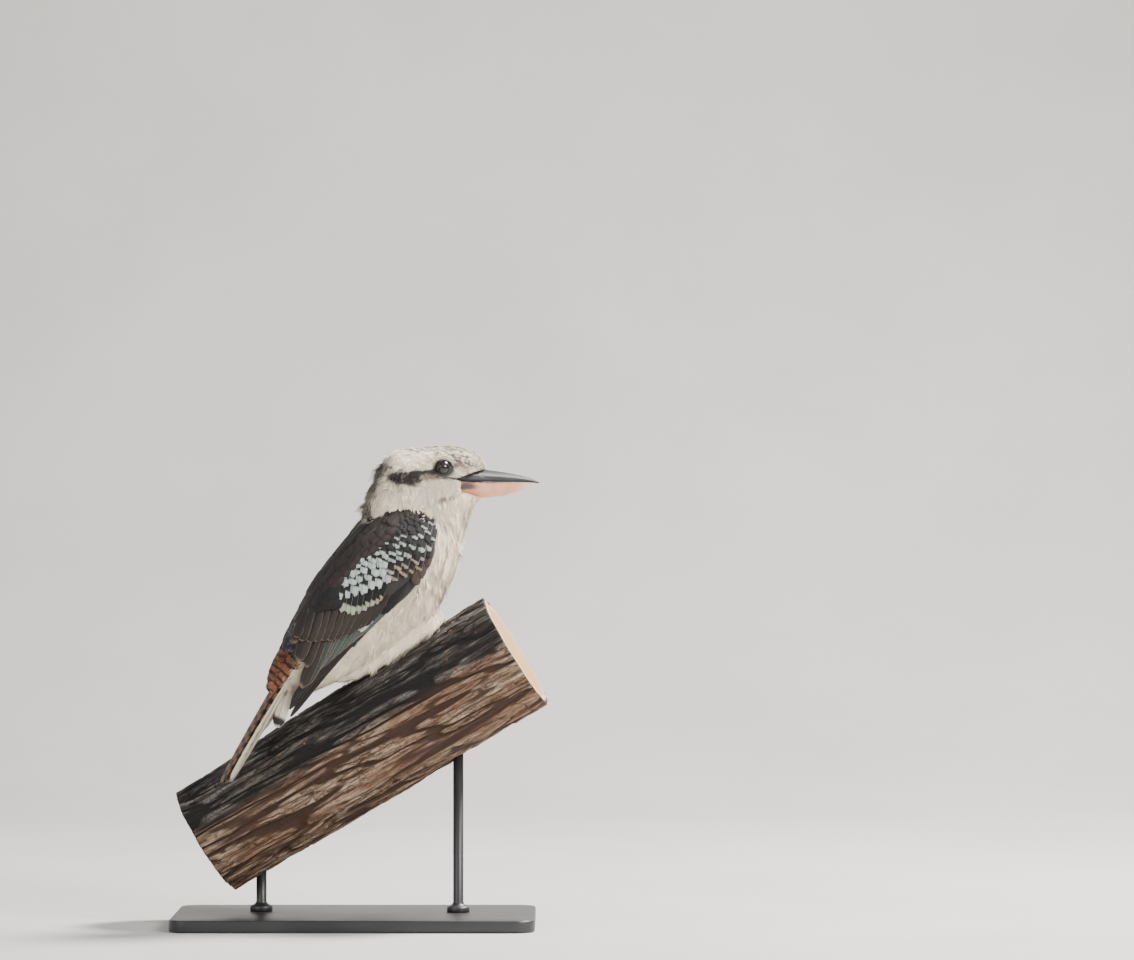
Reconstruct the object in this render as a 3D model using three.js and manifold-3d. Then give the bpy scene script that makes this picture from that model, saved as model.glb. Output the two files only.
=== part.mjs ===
// A laughing kookaburra on a short cut length of a thick, sloping limb, held by a plain display stand.
// Millimetres, +Z up. The bird looks towards +X and a little away from -Y, the side it is seen from.
// The origin is the middle of the underside of the stand's base.
import * as THREE from "three";
import { mergeVertices } from "three/addons/utils/BufferGeometryUtils.js";
import Module from "manifold-3d";

const wasm = await Module();
wasm.setup();

// Driving dimensions
const GAP = 0.3; // between nodes that touch
const BIRD_YAW = THREE.MathUtils.degToRad(18); // the bill turns away from -Y
const FEET_AT = new THREE.Vector3(43.6, 0, 264.8); // where the feet stand, on top of the limb

const LIMB_SLOPE = THREE.MathUtils.degToRad(31.5);
const LIMB_YAW = THREE.MathUtils.degToRad(-4); // the low end lies a little further from -Y
const LIMB_RADIUS = 58; // under the feet
const LIMB_TAPER = 0.014; // gain in radius for each mm up the slope
const LIMB_BEHIND = 10; // how far the limb's axis lies behind the feet
const LIMB_BELOW_FEET = 258; // along the slope from below the feet to the low cut end
const LIMB_ABOVE_FEET = 96; // and to the high cut end
const BARK_RELIEF = 1.9;

const BASE_LENGTH = 350;
const BASE_DEPTH = 190;
const BASE_HEIGHT = 12;
const BASE_CORNER = 16;
const ROD_RADIUS = 5;
const COLLAR_RADIUS = 11;
const COLLAR_HEIGHT = 5;
const ROD_LOW_X = -92;
const ROD_HIGH_X = 100;

const EYE_RADIUS = 8.2;
const EYE_AT = { x: 36.2, z: 178.8, y: 21.4 };
const LID_RADIUS = 7.3; // of the ring of the eyelids, to the middle of its roll
const LID_ROLL = 1.3;

const VANE_THICK = 0.52;

// The body's own frame: u runs from the shoulder down the back to the rump, v from the back to the breast.
const SHOULDER = new THREE.Vector2(0, 108.6);
const ALONG = new THREE.Vector2(-0.7165, -0.6976);
const ACROSS = new THREE.Vector2(0.6976, -0.7165);

// Stations of the trunk: distance along u, v of the back, v of the underside, half width.
const TRUNK = [
  [197, 11, 28, 8],
  [182, -1, 36.5, 15],
  [160, -9, 46, 21.5],
  [140, -16, 54, 26.5],
  [118, -23.5, 61.5, 32],
  [92, -31, 68.5, 37],
  [66, -36, 75.5, 39.5],
  [40, -39, 81.5, 40],
  [18, -41.3, 74, 38.5],
];
// Stations of the neck and head: back of the section x and z, throat of the section x and z, half width.
const NECK_AND_HEAD = [
  [-36, 131, 55.3, 79.5, 36],
  [-34, 143, 60, 96, 33.5],
  [-29, 155.5, 63.3, 110.6, 31],
  [-24, 166.5, 67.3, 122.5, 30],
  [-19.5, 178, 71, 130.5, 29],
  [-13, 189.5, 73.5, 137, 28.5],
  [0, 196.3, 76, 141.5, 28],
  [16, 198.7, 79, 145, 27.5],
  [36, 200.3, 82, 148, 25.2],
  [55, 200, 85, 149.7, 19.6],
  [70, 197, 87, 150.8, 14],
  [80.5, 190.6, 88, 151.2, 10.2],
  [87.5, 180, 88.5, 152.4, 7],
];
const TAIL_CUT = 1.5; // the station of TRUNK where the tail's root is parted from the trunk
const NECK_CUT = TRUNK.length + 0.4;
const HEAD_CUT = TRUNK.length + 3.6;

// Stations of the bill: x, top of the culmen, the line of the mouth, underside, half width.
const BILL = [
  [44, 180, 168, 151, 19],
  [58, 179.6, 166.2, 150, 18.5],
  [66, 179.2, 165.6, 149.8, 17.2],
  [76, 178.5, 165.2, 149.9, 15.4],
  [88, 177.2, 165, 150.3, 13],
  [106, 174.8, 164.7, 152.4, 9.6],
  [121, 172, 164.6, 156.6, 6.6],
  [131, 169.3, 164.4, 160.6, 4.2],
  [137, 167, 164, 162.9, 2.4],
  [141.3, 164.9, 163.4, 163, 0.9],
];

// Stations of the surface that the folded wing lies on: u, middle v, half height, half width.
const WING_BED = [
  [-36, 14, 50, 27],
  [-14, 16, 56, 35],
  [14, 17, 58, 41.4],
  [42, 20, 60.5, 43.6],
  [66, 19.5, 57, 43],
  [92, 18.5, 51, 40.4],
  [118, 18.5, 44, 35.2],
  [140, 19, 38.5, 31],
  [160, 20.5, 33.5, 27.5],
  [182, 24, 28, 24],
  [206, 30, 22, 20.5],
];
// The wing's edges as angles round that surface, in degrees from the back: u, upper edge, lower edge.
const WING_EDGES = [
  [-31, 60, 78],
  [-24, 40, 89],
  [-12, 30, 98],
  [4, 26, 104],
  [30, 25, 104.5],
  [60, 26, 103],
  [90, 30, 106],
  [112, 36, 111],
];

// The row of a table at a key, by a smooth curve through its rows. The first column is the key.
function along(table, key) {
  const falls = table[0][0] > table[table.length - 1][0];
  const order = falls ? [...table].reverse() : table;
  const last = order.length - 1;
  let i = 0;
  while (i < last - 1 && key > order[i + 1][0]) i++;
  const [p, q] = [order[i], order[i + 1]];
  const before = order[Math.max(i - 1, 0)];
  const after = order[Math.min(i + 2, last)];
  const span = q[0] - p[0];
  const t = (key - p[0]) / span;
  return p.map((value, c) => {
    const m0 = ((q[c] - before[c]) / (q[0] - before[0])) * span;
    const m1 = ((after[c] - p[c]) / (after[0] - p[0])) * span;
    const t2 = t * t;
    const t3 = t2 * t;
    return (2 * t3 - 3 * t2 + 1) * value + (t3 - 2 * t2 + t) * m0 + (3 * t2 - 2 * t3) * q[c] + (t3 - t2) * m1;
  });
}

function trunkPoint(u, v) {
  return SHOULDER.clone().addScaledVector(ALONG, u).addScaledVector(ACROSS, v);
}

// Every section of the body as [index, back x, back z, underside x, underside z, half width].
const RIBS = [
  ...TRUNK.map(([u, top, bottom, half]) => {
    const back = trunkPoint(u, top);
    const under = trunkPoint(u, bottom);
    return [back.x, back.y, under.x, under.y, half];
  }),
  ...NECK_AND_HEAD,
].map((rib, index) => [index, ...rib]);

// One closed surface from rings of points, each end closed by a fan.
function loft(rings) {
  const n = rings[0].length;
  const points = rings.flat();
  const faces = [];
  for (let r = 0; r + 1 < rings.length; r++)
    for (let i = 0; i < n; i++) {
      const j = (i + 1) % n;
      const [a, b, c, d] = [r * n + i, r * n + j, (r + 1) * n + j, (r + 1) * n + i];
      faces.push(a, b, c, a, c, d);
    }
  for (const r of [0, rings.length - 1]) {
    if (n <= 6) {
      for (let i = 1; i + 1 < n; i++) {
        const [a, b, c] = [r * n, r * n + i, r * n + i + 1];
        faces.push(...(r ? [a, b, c] : [a, c, b]));
      }
      continue;
    }
    const middle = rings[r].reduce((sum, p) => sum.add(p), new THREE.Vector3()).divideScalar(n);
    points.push(middle);
    for (let i = 0; i < n; i++) {
      const [a, b] = [r * n + i, r * n + ((i + 1) % n)];
      faces.push(...(r ? [a, b, points.length - 1] : [b, a, points.length - 1]));
    }
  }
  const geometry = new THREE.BufferGeometry().setFromPoints(points);
  return geometry.setIndex(faces);
}

// A closed geometry as a solid for joining and cutting, faces turned outwards.
function solid(geometry) {
  const bare = geometry.clone();
  bare.deleteAttribute("normal");
  bare.deleteAttribute("uv");
  const merged = mergeVertices(bare, 1e-4);
  const vertProperties = new Float32Array(merged.attributes.position.array);
  const triVerts = new Uint32Array(merged.index.array);
  const make = () => new wasm.Manifold(new wasm.Mesh({ numProp: 3, vertProperties, triVerts }));
  const made = make();
  if (made.volume() > 0) return made;
  for (let i = 0; i < triVerts.length; i += 3)
    [triVerts[i + 1], triVerts[i + 2]] = [triVerts[i + 2], triVerts[i + 1]];
  return make();
}

function union(solids) {
  return solids.reduce((joined, piece) => joined.add(piece));
}

// The largest closed body of a solid, as a geometry.
function largest(made) {
  const bodies = made.decompose().sort((p, q) => q.volume() - p.volume());
  const mesh = bodies[0].getMesh();
  const points = new Float32Array(mesh.numVert * 3);
  for (let i = 0; i < mesh.numVert; i++)
    points.set(mesh.vertProperties.subarray(i * mesh.numProp, i * mesh.numProp + 3), i * 3);
  return new THREE.BufferGeometry()
    .setAttribute("position", new THREE.BufferAttribute(points, 3))
    .setIndex(new THREE.BufferAttribute(new Uint32Array(mesh.triVerts), 1));
}

// The ring of the body at a station between two sections, larger by extra.
function bodyRing(index, extra = 0, sides = 28) {
  const [, backX, backZ, underX, underZ, half] = along(RIBS, index);
  const middle = new THREE.Vector3((backX + underX) / 2, 0, (backZ + underZ) / 2);
  const up = new THREE.Vector3(backX - underX, 0, backZ - underZ);
  const height = up.length() / 2 + extra;
  up.normalize();
  return Array.from({ length: sides }, (_, i) => {
    const turn = (i / sides) * 2 * Math.PI;
    const swell = 1 + 0.06 * Math.sin(turn) ** 2;
    return middle
      .clone()
      .addScaledVector(up, height * Math.cos(turn))
      .add(new THREE.Vector3(0, (half + extra) * Math.sin(turn) * swell, 0));
  });
}

function bodySolid(extra = 0) {
  const last = RIBS.length - 1;
  const steps = 42;
  const rings = Array.from({ length: steps + 1 }, (_, i) => bodyRing((i / steps) * last, extra));
  if (extra > 0)
    for (const [ring, next] of [[0, 1], [steps, steps - 1]]) {
      const out = rings[ring][0].clone().sub(rings[next][0]).setLength(extra);
      rings[ring].forEach((p) => p.add(out));
    }
  return solid(loft(rings));
}

// A thin plate across the body in the plane of one of its sections, to part two nodes.
function partingPlate(index) {
  const [, backX, backZ, underX, underZ] = along(RIBS, index);
  const up = new THREE.Vector3(backX - underX, 0, backZ - underZ).normalize();
  const side = new THREE.Vector3(0, 1, 0);
  const frame = new THREE.Matrix4().makeBasis(side.clone().cross(up), side, up);
  frame.setPosition((backX + underX) / 2, 0, (backZ + underZ) / 2);
  return solid(new THREE.BoxGeometry(GAP, 150, 170).applyMatrix4(frame));
}

// Bill: a section is an arch over, or a keel under, the line of the mouth.
function billRing(x, upper, extra) {
  const [, top, mouth, under, half] = along(BILL, x);
  const sides = 9;
  const line = upper ? mouth + GAP / 2 - extra : mouth - GAP / 2 + extra;
  const rise = upper ? top + extra - line : under - extra - line;
  const width = (half + extra) * (upper ? 1 : 0.93);
  const ring = Array.from({ length: sides }, (_, i) => {
    const turn = (i / (sides - 1)) * Math.PI;
    const across = Math.cos(turn);
    const round = Math.sin(turn) ** 0.85 * (1 - 0.1 * Math.sin(2 * turn) ** 2);
    return new THREE.Vector3(x, width * across, line + rise * round);
  });
  return ring;
}

function billSolid(upper, extra = 0) {
  const stop = upper ? 141.3 : 137.6;
  const steps = 9;
  const start = 50 - extra;
  return solid(
    loft(
      Array.from({ length: steps + 1 }, (_, i) => billRing(start + (stop + extra - start) * (i / steps) ** 0.85, upper, extra)),
    ),
  );
}

function nostrils() {
  return [-1, 1].map((side) => {
    const pit = new THREE.SphereGeometry(1, 8, 6).scale(3.2, 1.5, 1.1);
    return solid(pit.rotateZ(side * -0.2).translate(77.5, side * 13.7, 171.8));
  });
}

// Eye, and the roll of the lids round it.
function eyeSolid(side, extra = 0) {
  const ball = new THREE.SphereGeometry(EYE_RADIUS + extra, 14, 10).rotateX(Math.PI / 2);
  return solid(ball.translate(EYE_AT.x, side * EYE_AT.y, EYE_AT.z));
}

function lidSolid(side) {
  const roll = new THREE.TorusGeometry(LID_RADIUS, LID_ROLL, 6, 18).rotateX(Math.PI / 2);
  roll.rotateZ(side * -0.24);
  return solid(roll.translate(EYE_AT.x + 0.9, side * (EYE_AT.y + 4.4), EYE_AT.z));
}

// A point on the bed of the folded wing, at height out of it. The angle is from the back, in degrees.
function bedPoint(u, angle, height) {
  const at = (uu, aa) => {
    const [, middle, half, wide] = along(WING_BED, uu);
    const turn = THREE.MathUtils.degToRad(aa);
    const flat = trunkPoint(uu, middle - half * Math.cos(turn));
    return new THREE.Vector3(flat.x, -wide * Math.sin(turn), flat.y);
  };
  const point = at(u, angle);
  const back = at(u + 1, angle).sub(point);
  const down = at(u, angle + 1).sub(point);
  return point.addScaledVector(back.cross(down).normalize(), height);
}

function bedRadius(u) {
  const [, , half, wide] = along(WING_BED, u);
  return (half + wide) / 2;
}

// A small steady irregularity for a feather, between -1 and 1.
function vary(seed) {
  const wave = Math.sin(seed * 12.9898 + 4.1) * 43758.5453;
  return 2 * (wave - Math.floor(wave)) - 1;
}

// One vane between root and tip, each [along, angle, height]. Its edge towards larger angles is raised by lift
// for each mm, and it bows by so many degrees on its way.
const LONG_VANE = [[0, 0.6], [0.34, 0.9], [0.66, 1], [0.88, 0.84], [0.97, 0.5], [1, 0.16]];
const SHORT_VANE = [[0, 0.62], [0.5, 0.98], [0.86, 0.86], [1, 0.3]];
function vane(point, radius, { root, tip, half, lift, bow = 0, outline = LONG_VANE, thick = VANE_THICK }) {
  const path = (t) => {
    const at = root.map((value, c) => value + (tip[c] - value) * t);
    at[1] += bow * Math.sin(Math.PI * t);
    return at;
  };
  const rings = outline.map(([t, width]) => {
    const [u, angle, height] = path(t);
    const perDegree = (radius(u) * Math.PI) / 180;
    const ahead = path(t + 0.01);
    const behind = path(t - 0.01);
    const heading = Math.atan2((ahead[1] - behind[1]) * perDegree, ahead[0] - behind[0]);
    const edge = (side, down) => {
      const off = side * half * width;
      return point(u - off * Math.sin(heading), angle + (off * Math.cos(heading)) / perDegree, height + lift * off - down);
    };
    return [edge(-1, 0), edge(1, 0), edge(1, thick), edge(-1, thick)];
  });
  return solid(loft(rings));
}

// A row of vanes on the wing, from a first one to a last one, each a little different.
function tier(count, seed, first, last, { lift, bow = [0, 0], outline = LONG_VANE }) {
  return Array.from({ length: count }, (_, i) => {
    const t = count > 1 ? i / (count - 1) : 0;
    const mix = (p, q) => p.map((value, c) => value + (q[c] - value) * t);
    const tip = mix(first.tip, last.tip);
    tip[0] += 1.1 * vary(seed + i);
    const half = first.half + (last.half - first.half) * t;
    const bend = bow[0] + (bow[1] - bow[0]) * t;
    return vane(bedPoint, bedRadius, { root: mix(first.root, last.root), tip, half, lift, bow: bend, outline });
  });
}

// Height of the arm of the wing over the bed, by how far a place lies behind the bend of the wing, along the
// slant of its rows of coverts.
const ARM_HEIGHT = [[-40, 7.6], [34, 7.6], [55, 5.7], [62, 5.2], [80, 3.7], [92, 2.6], [104, 1.3], [120, -0.4], [200, -0.6]];
function rowPlace(u, angle) {
  return u + 1.06 * (angle - 91);
}

// The arm of the wing: a padded sheet over the bed, whose inner side sinks to the trunk.
function wingArm() {
  const columns = 12;
  const rows = 15;
  const from = WING_EDGES[0][0];
  const to = WING_EDGES[WING_EDGES.length - 1][0];
  const rings = Array.from({ length: rows }, (_, r) => {
    const share = r / (rows - 1);
    const u = from + (to - from) * share;
    const [, upper, lower] = along(WING_EDGES, u);
    const front = Math.sqrt(Math.min(1, 0.12 + 3.4 * share));
    const sheet = (height) =>
      Array.from({ length: columns }, (_, c) => {
        const part = c / (columns - 1);
        const angle = upper + (lower - upper) * part;
        return bedPoint(u, angle, height(angle, Math.min(1, Math.sqrt(Math.max(0.04, 1.5 * Math.sin(Math.PI * part))))));
      });
    const outer = sheet((angle, swell) => along(ARM_HEIGHT, rowPlace(u, angle))[1] * swell * front);
    const inner = sheet(() => -6).reverse();
    return [...outer, ...inner];
  });
  return solid(loft(rings));
}

function wingVanes() {
  return {
    primaries: tier(5, 11, { root: [92, 100, 0.3], tip: [203, 110.5, 1.1], half: 3.2 },
      { root: [98, 87, 0.3], tip: [173, 96, 1.1], half: 3.6 }, { lift: 0.36, bow: [9, 7] }),
    secondaries: tier(6, 23, { root: [78, 94, 2.3], tip: [127, 98.5, 3.9], half: 3.6 },
      { root: [96, 63, 2.3], tip: [177, 87, 4.2], half: 4.4 }, { lift: 0.36, bow: [0, 2] }),
    tertials: tier(3, 37, { root: [99, 60, 2.5], tip: [171, 76, 3.8], half: 5.4 },
      { root: [104, 42, 2.7], tip: [158, 50, 4.2], half: 6 }, { lift: 0.2 }),
    greater: tier(7, 41, { root: [50, 87, 4.2], tip: [91, 94, 6], half: 4.4 },
      { root: [92, 49, 4.2], tip: [141, 47, 6.4], half: 5.4 }, { lift: 0.25, outline: SHORT_VANE }),
    median: tier(7, 59, { root: [28, 84, 5.8], tip: [58, 92, 7.6], half: 4.4 },
      { root: [66, 50, 5.6], tip: [104, 55, 7.8], half: 5 }, { lift: 0.2, outline: SHORT_VANE }),
    scapulars: tier(4, 71, { root: [24, 42, 5.4], tip: [76, 44, 8.6], half: 7 },
      { root: [70, 31, 3.2], tip: [132, 33, 5.8], half: 7 }, { lift: 0.12, outline: SHORT_VANE }),
  };
}

function wingSolid() {
  return union([wingArm(), ...Object.values(wingVanes()).flat()]);
}

// The tail: a middle pair of long vanes on top, five more pairs under it, and one outer vane let down.
const TAIL_ROOT = new THREE.Vector3(-110, 0, -4);
const TAIL_TIP = new THREE.Vector3(-180, 0, -125);
const TAIL_LENGTH = TAIL_ROOT.distanceTo(TAIL_TIP);
const TAIL_PAIRS = 6;
function tailPoint(distance, side, height) {
  const run = TAIL_TIP.clone().sub(TAIL_ROOT).normalize();
  const up = new THREE.Vector3(0, 1, 0).cross(run);
  return TAIL_ROOT.clone().addScaledVector(run, distance).add(new THREE.Vector3(0, side, 0)).addScaledVector(up, height);
}

// The tail lies on a flat bed, so an angle on it is a plain distance to one side.
function tailVane(shape) {
  return vane(tailPoint, () => 180 / Math.PI, shape);
}

function tailVanes() {
  const step = VANE_THICK + GAP + 0.05;
  return Array.from({ length: TAIL_PAIRS }, (_, pair) => pair).flatMap((pair) =>
    [-1, 1].map((side) => {
      const depth = pair ? -step * (pair + 1) : -step * (side + 1) / 2;
      const half = pair ? 8.4 : 9.6;
      const out = pair ? half + 0.4 + 1.4 * (pair - 1) : 3.4;
      const root = [8, side * (pair ? 8 + 0.6 * pair : 2.4), depth];
      const tip = [TAIL_LENGTH - 1.2 * pair + 0.8 * vary(97 + pair * 2 + side), side * out, depth];
      return tailVane({ root, tip, half, lift: 0 });
    }),
  );
}

function letDownVane() {
  return tailVane({ root: [22, -10, -7.5], tip: [86, -20, -20], half: 7, lift: 0.1 });
}

function tailCoverts() {
  return [-1, 1].flatMap((side) =>
    [0, 1, 2].map((i) => {
      const root = [4 + 4 * i, side * (3.6 + 4 * i), 7 - 2 * i];
      const tip = [56 - 6 * i, side * (3.4 + 5.2 * i), 2.9 - 0.9 * i + 0.48 * side];
      return tailVane({ root, tip, half: 5, lift: side * -0.06, outline: SHORT_VANE });
    }),
  );
}

// The limb: a tapered round log along its own axis, with long bark ridges, from the low cut end up.
const LIMB_RUN = new THREE.Vector3(
  Math.cos(LIMB_SLOPE) * Math.cos(LIMB_YAW),
  Math.cos(LIMB_SLOPE) * Math.sin(LIMB_YAW),
  Math.sin(LIMB_SLOPE),
);
const LIMB_SIDE = new THREE.Vector3(0, 0, 1).cross(LIMB_RUN).normalize();
const LIMB_TOP = LIMB_RUN.clone().cross(LIMB_SIDE);
const LIMB_MIDDLE = FEET_AT.clone()
  .addScaledVector(LIMB_TOP, -LIMB_RADIUS)
  .add(new THREE.Vector3(0, LIMB_BEHIND, 0));

function barkHeight(distance, turn) {
  const ridges = Math.sin(9 * turn + 0.012 * distance + 1.3 * Math.sin(0.021 * distance));
  const broad = Math.sin(4 * turn - 0.017 * distance + 0.8);
  const worn = 1 - 0.75 * Math.exp(-((distance / 60) ** 2)) * Math.max(0, Math.cos(turn));
  return BARK_RELIEF * worn * (0.62 * ridges + 0.38 * broad);
}

function limbSolid(extra = 0, inBirdFrame = false) {
  const sides = 44;
  const steps = 14;
  const rings = Array.from({ length: steps + 1 }, (_, r) => {
    const distance = -LIMB_BELOW_FEET + (LIMB_BELOW_FEET + LIMB_ABOVE_FEET) * (r / steps);
    const centre = LIMB_MIDDLE.clone().addScaledVector(LIMB_RUN, distance);
    return Array.from({ length: sides }, (_, i) => {
      const turn = (i / sides) * 2 * Math.PI;
      const radius = LIMB_RADIUS + LIMB_TAPER * distance + barkHeight(distance, turn) + extra;
      return centre
        .clone()
        .addScaledVector(LIMB_TOP, radius * Math.cos(turn))
        .addScaledVector(LIMB_SIDE, radius * Math.sin(turn));
    });
  });
  const geometry = loft(rings);
  if (inBirdFrame) geometry.applyMatrix4(birdFrame().invert());
  return solid(geometry);
}

function birdFrame() {
  return new THREE.Matrix4().makeRotationZ(BIRD_YAW).setPosition(FEET_AT);
}

// Height of the limb's plain surface in the bird's frame, under a point x, y.
function limbTopAt(x, y) {
  const world = new THREE.Vector3(x, y, 0).applyMatrix4(birdFrame());
  let low = FEET_AT.z - 200;
  let high = FEET_AT.z + 200;
  for (let i = 0; i < 40; i++) {
    const middle = (low + high) / 2;
    const from = new THREE.Vector3(world.x, world.y, middle).sub(LIMB_MIDDLE);
    const distance = from.dot(LIMB_RUN);
    const above = from.dot(LIMB_TOP);
    const radius = Math.hypot(above, from.dot(LIMB_SIDE));
    const inside = above < 0 || radius < LIMB_RADIUS + LIMB_TAPER * distance;
    if (inside) low = middle;
    else high = middle;
  }
  return low - FEET_AT.z;
}

// A round tube through points with a radius at each.
function tube(points, radii, sides = 8) {
  return solid(
    loft(
      points.map((p, i) => {
        const ahead = points[Math.min(i + 1, points.length - 1)].clone().sub(points[Math.max(i - 1, 0)]).normalize();
        const side = new THREE.Vector3(0, 1, 0).cross(ahead).normalize();
        const up = ahead.clone().cross(side);
        return Array.from({ length: sides }, (_, k) => {
          const turn = (k / sides) * 2 * Math.PI;
          return p.clone().addScaledVector(side, radii[i] * Math.cos(turn)).addScaledVector(up, radii[i] * Math.sin(turn));
        });
      }),
    ),
  );
}

// A toe lies on the limb from the heel of the foot, knuckled, and ends in a curved claw.
function toe(from, heading, length) {
  const reach = [0, 0.25, 0.5, 0.75, 0.9, 1.02, 1.1];
  const thick = [3, 2.7, 2.9, 2.3, 2, 1.3, 0.35];
  const lift = [2.2, 2.1, 2.3, 1.9, 2.2, 1.4, 0.5];
  const points = reach.map((share, i) => {
    const x = from.x + Math.cos(heading) * length * share;
    const y = from.y + Math.sin(heading) * length * share;
    return new THREE.Vector3(x, y, limbTopAt(x, y) + lift[i]);
  });
  return tube(points, thick, 6);
}

function legSolid(side) {
  const heel = new THREE.Vector3(-3, side * 15, 0);
  heel.z = limbTopAt(heel.x, heel.y) + 3;
  const ankle = new THREE.Vector3(-16, side * 14, heel.z + 24);
  const shank = tube([heel, heel.clone().lerp(ankle, 0.5), ankle], [3.1, 2.7, 3.4]);
  const toes = [[0.36, 22], [0.04, 27], [-0.3, 23]].map(([turn, length]) => toe(heel, side * turn, length));
  return union([shank, ...toes, toe(heel, Math.PI - side * 0.1, 15)]);
}

// Stand: a base plate with rounded edges, and two rods that stop at the limb's underside.
function baseGeometry() {
  const [x, y, r] = [BASE_LENGTH / 2, BASE_DEPTH / 2, BASE_CORNER];
  const bevel = 2;
  const outline = new THREE.Shape();
  outline.absarc(x - r - bevel, y - r - bevel, r, 0, Math.PI / 2);
  outline.absarc(-x + r + bevel, y - r - bevel, r, Math.PI / 2, Math.PI);
  outline.absarc(-x + r + bevel, -y + r + bevel, r, Math.PI, 1.5 * Math.PI);
  outline.absarc(x - r - bevel, -y + r + bevel, r, 1.5 * Math.PI, 2 * Math.PI);
  const shape = { depth: BASE_HEIGHT - 2 * bevel, bevelSize: bevel, bevelThickness: bevel, bevelSegments: 1, curveSegments: 4 };
  return new THREE.ExtrudeGeometry(outline, shape).translate(0, 0, bevel);
}

function rodSolid(x, limbCutter) {
  const along = (x - LIMB_MIDDLE.x) / LIMB_RUN.x;
  const y = LIMB_MIDDLE.y + along * LIMB_RUN.y;
  const top = LIMB_MIDDLE.z + along * LIMB_RUN.z;
  const foot = BASE_HEIGHT + GAP;
  const profile = [
    new THREE.Vector2(0, foot),
    new THREE.Vector2(COLLAR_RADIUS, foot),
    new THREE.Vector2(COLLAR_RADIUS, foot + COLLAR_HEIGHT),
    new THREE.Vector2(ROD_RADIUS, foot + COLLAR_HEIGHT + 2),
    new THREE.Vector2(ROD_RADIUS, top),
    new THREE.Vector2(0, top),
  ];
  const rod = new THREE.LatheGeometry(profile, 20).rotateX(Math.PI / 2).translate(x, y, 0);
  return solid(rod).subtract(limbCutter);
}

// Materials, as seen in daylight.
const finish = (color, roughness, metalness = 0) => new THREE.MeshStandardMaterial({ color, roughness, metalness });
const WHITE_PLUMAGE = finish(0xd9d0bf, 0.85);
const DARK_PLUMAGE = finish(0x2b231f, 0.75);
const RUFOUS_PLUMAGE = finish(0x8a4a2a, 0.8);
const BILL_BLACK = finish(0x24262b, 0.35);
const BILL_HORN = finish(0xd29a7c, 0.4);
const EYE_BROWN = finish(0x24160f, 0.08);
const FOOT_GREY = finish(0x77786a, 0.6);
const BARK = finish(0x5c4a3a, 0.95);
const STAND_BLACK = finish(0x26262a, 0.4, 0.6);

const bird = new THREE.Group();
bird.applyMatrix4(birdFrame());
const stand = new THREE.Group();

function place(group, name, made, material) {
  const geometry = made.isBufferGeometry ? made : largest(made);
  const mesh = new THREE.Mesh(geometry, material);
  mesh.name = name;
  group.add(mesh);
}

const body = bodySolid();
const bodyCutter = bodySolid(GAP);
const plates = [TAIL_CUT, NECK_CUT, HEAD_CUT].map(partingPlate);
const lengths = plates
  .reduce((left, plate) => left.subtract(plate), body)
  .decompose()
  .sort((p, q) => p.boundingBox().min[2] - q.boundingBox().min[2]);
const [tailRoot, trunk, neck, plainHead] = lengths;

const billCutters = [billSolid(true, GAP), billSolid(false, GAP)];
const eyeCutters = [eyeSolid(-1, GAP), eyeSolid(1, GAP)];
const head = union([plainHead, lidSolid(-1), lidSolid(1)]);
place(bird, "head", [...billCutters, ...eyeCutters].reduce((left, cutter) => left.subtract(cutter), head), WHITE_PLUMAGE);
place(bird, "neck", billCutters.reduce((left, cutter) => left.subtract(cutter), neck), WHITE_PLUMAGE);
place(bird, "torso", trunk, WHITE_PLUMAGE);

const upperBill = nostrils().reduce((left, pit) => left.subtract(pit), billSolid(true));
place(bird, "bill_upper", upperBill, BILL_BLACK);
place(bird, "bill_lower", billSolid(false), BILL_HORN);
place(bird, "eye_right", eyeSolid(-1), EYE_BROWN);
place(bird, "eye_left", eyeSolid(1), EYE_BROWN);

const trunkFace = partingPlate(TAIL_CUT);
const tail = union([tailRoot, ...tailVanes(), letDownVane(), ...tailCoverts()]).subtract(trunkFace).subtract(trunk);
place(bird, "tail", tail, RUFOUS_PLUMAGE);

const wing = wingSolid().subtract(bodyCutter);
const wingGeometry = largest(wing);
place(bird, "wing_right", wingGeometry, DARK_PLUMAGE);
const mirrored = wingGeometry.clone().scale(1, -1, 1);
const turned = mirrored.index.array;
for (let i = 0; i < turned.length; i += 3) [turned[i + 1], turned[i + 2]] = [turned[i + 2], turned[i + 1]];
place(bird, "wing_left", mirrored, DARK_PLUMAGE);

const limbCutterBird = limbSolid(GAP, true);
for (const [side, name] of [[-1, "leg_right"], [1, "leg_left"]])
  place(bird, name, legSolid(side).subtract(bodyCutter).subtract(limbCutterBird), FOOT_GREY);

const limbCutter = limbSolid(GAP);
place(stand, "stand_base", baseGeometry(), STAND_BLACK);
place(stand, "stand_rod_low", rodSolid(ROD_LOW_X, limbCutter), STAND_BLACK);
place(stand, "stand_rod_high", rodSolid(ROD_HIGH_X, limbCutter), STAND_BLACK);
place(stand, "perch", limbSolid(), BARK);

export default new THREE.Group().add(bird, stand);
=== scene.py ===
# %% [markdown]
# # A laughing kookaburra in Blender
# The bird sits as it would in a museum case: on a cut length of limb, over a plain stand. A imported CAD
# model gives its place and size. This script lays skin, feathers, horn, bark and paint over that frame.

# %% Load the frame
import math

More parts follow.
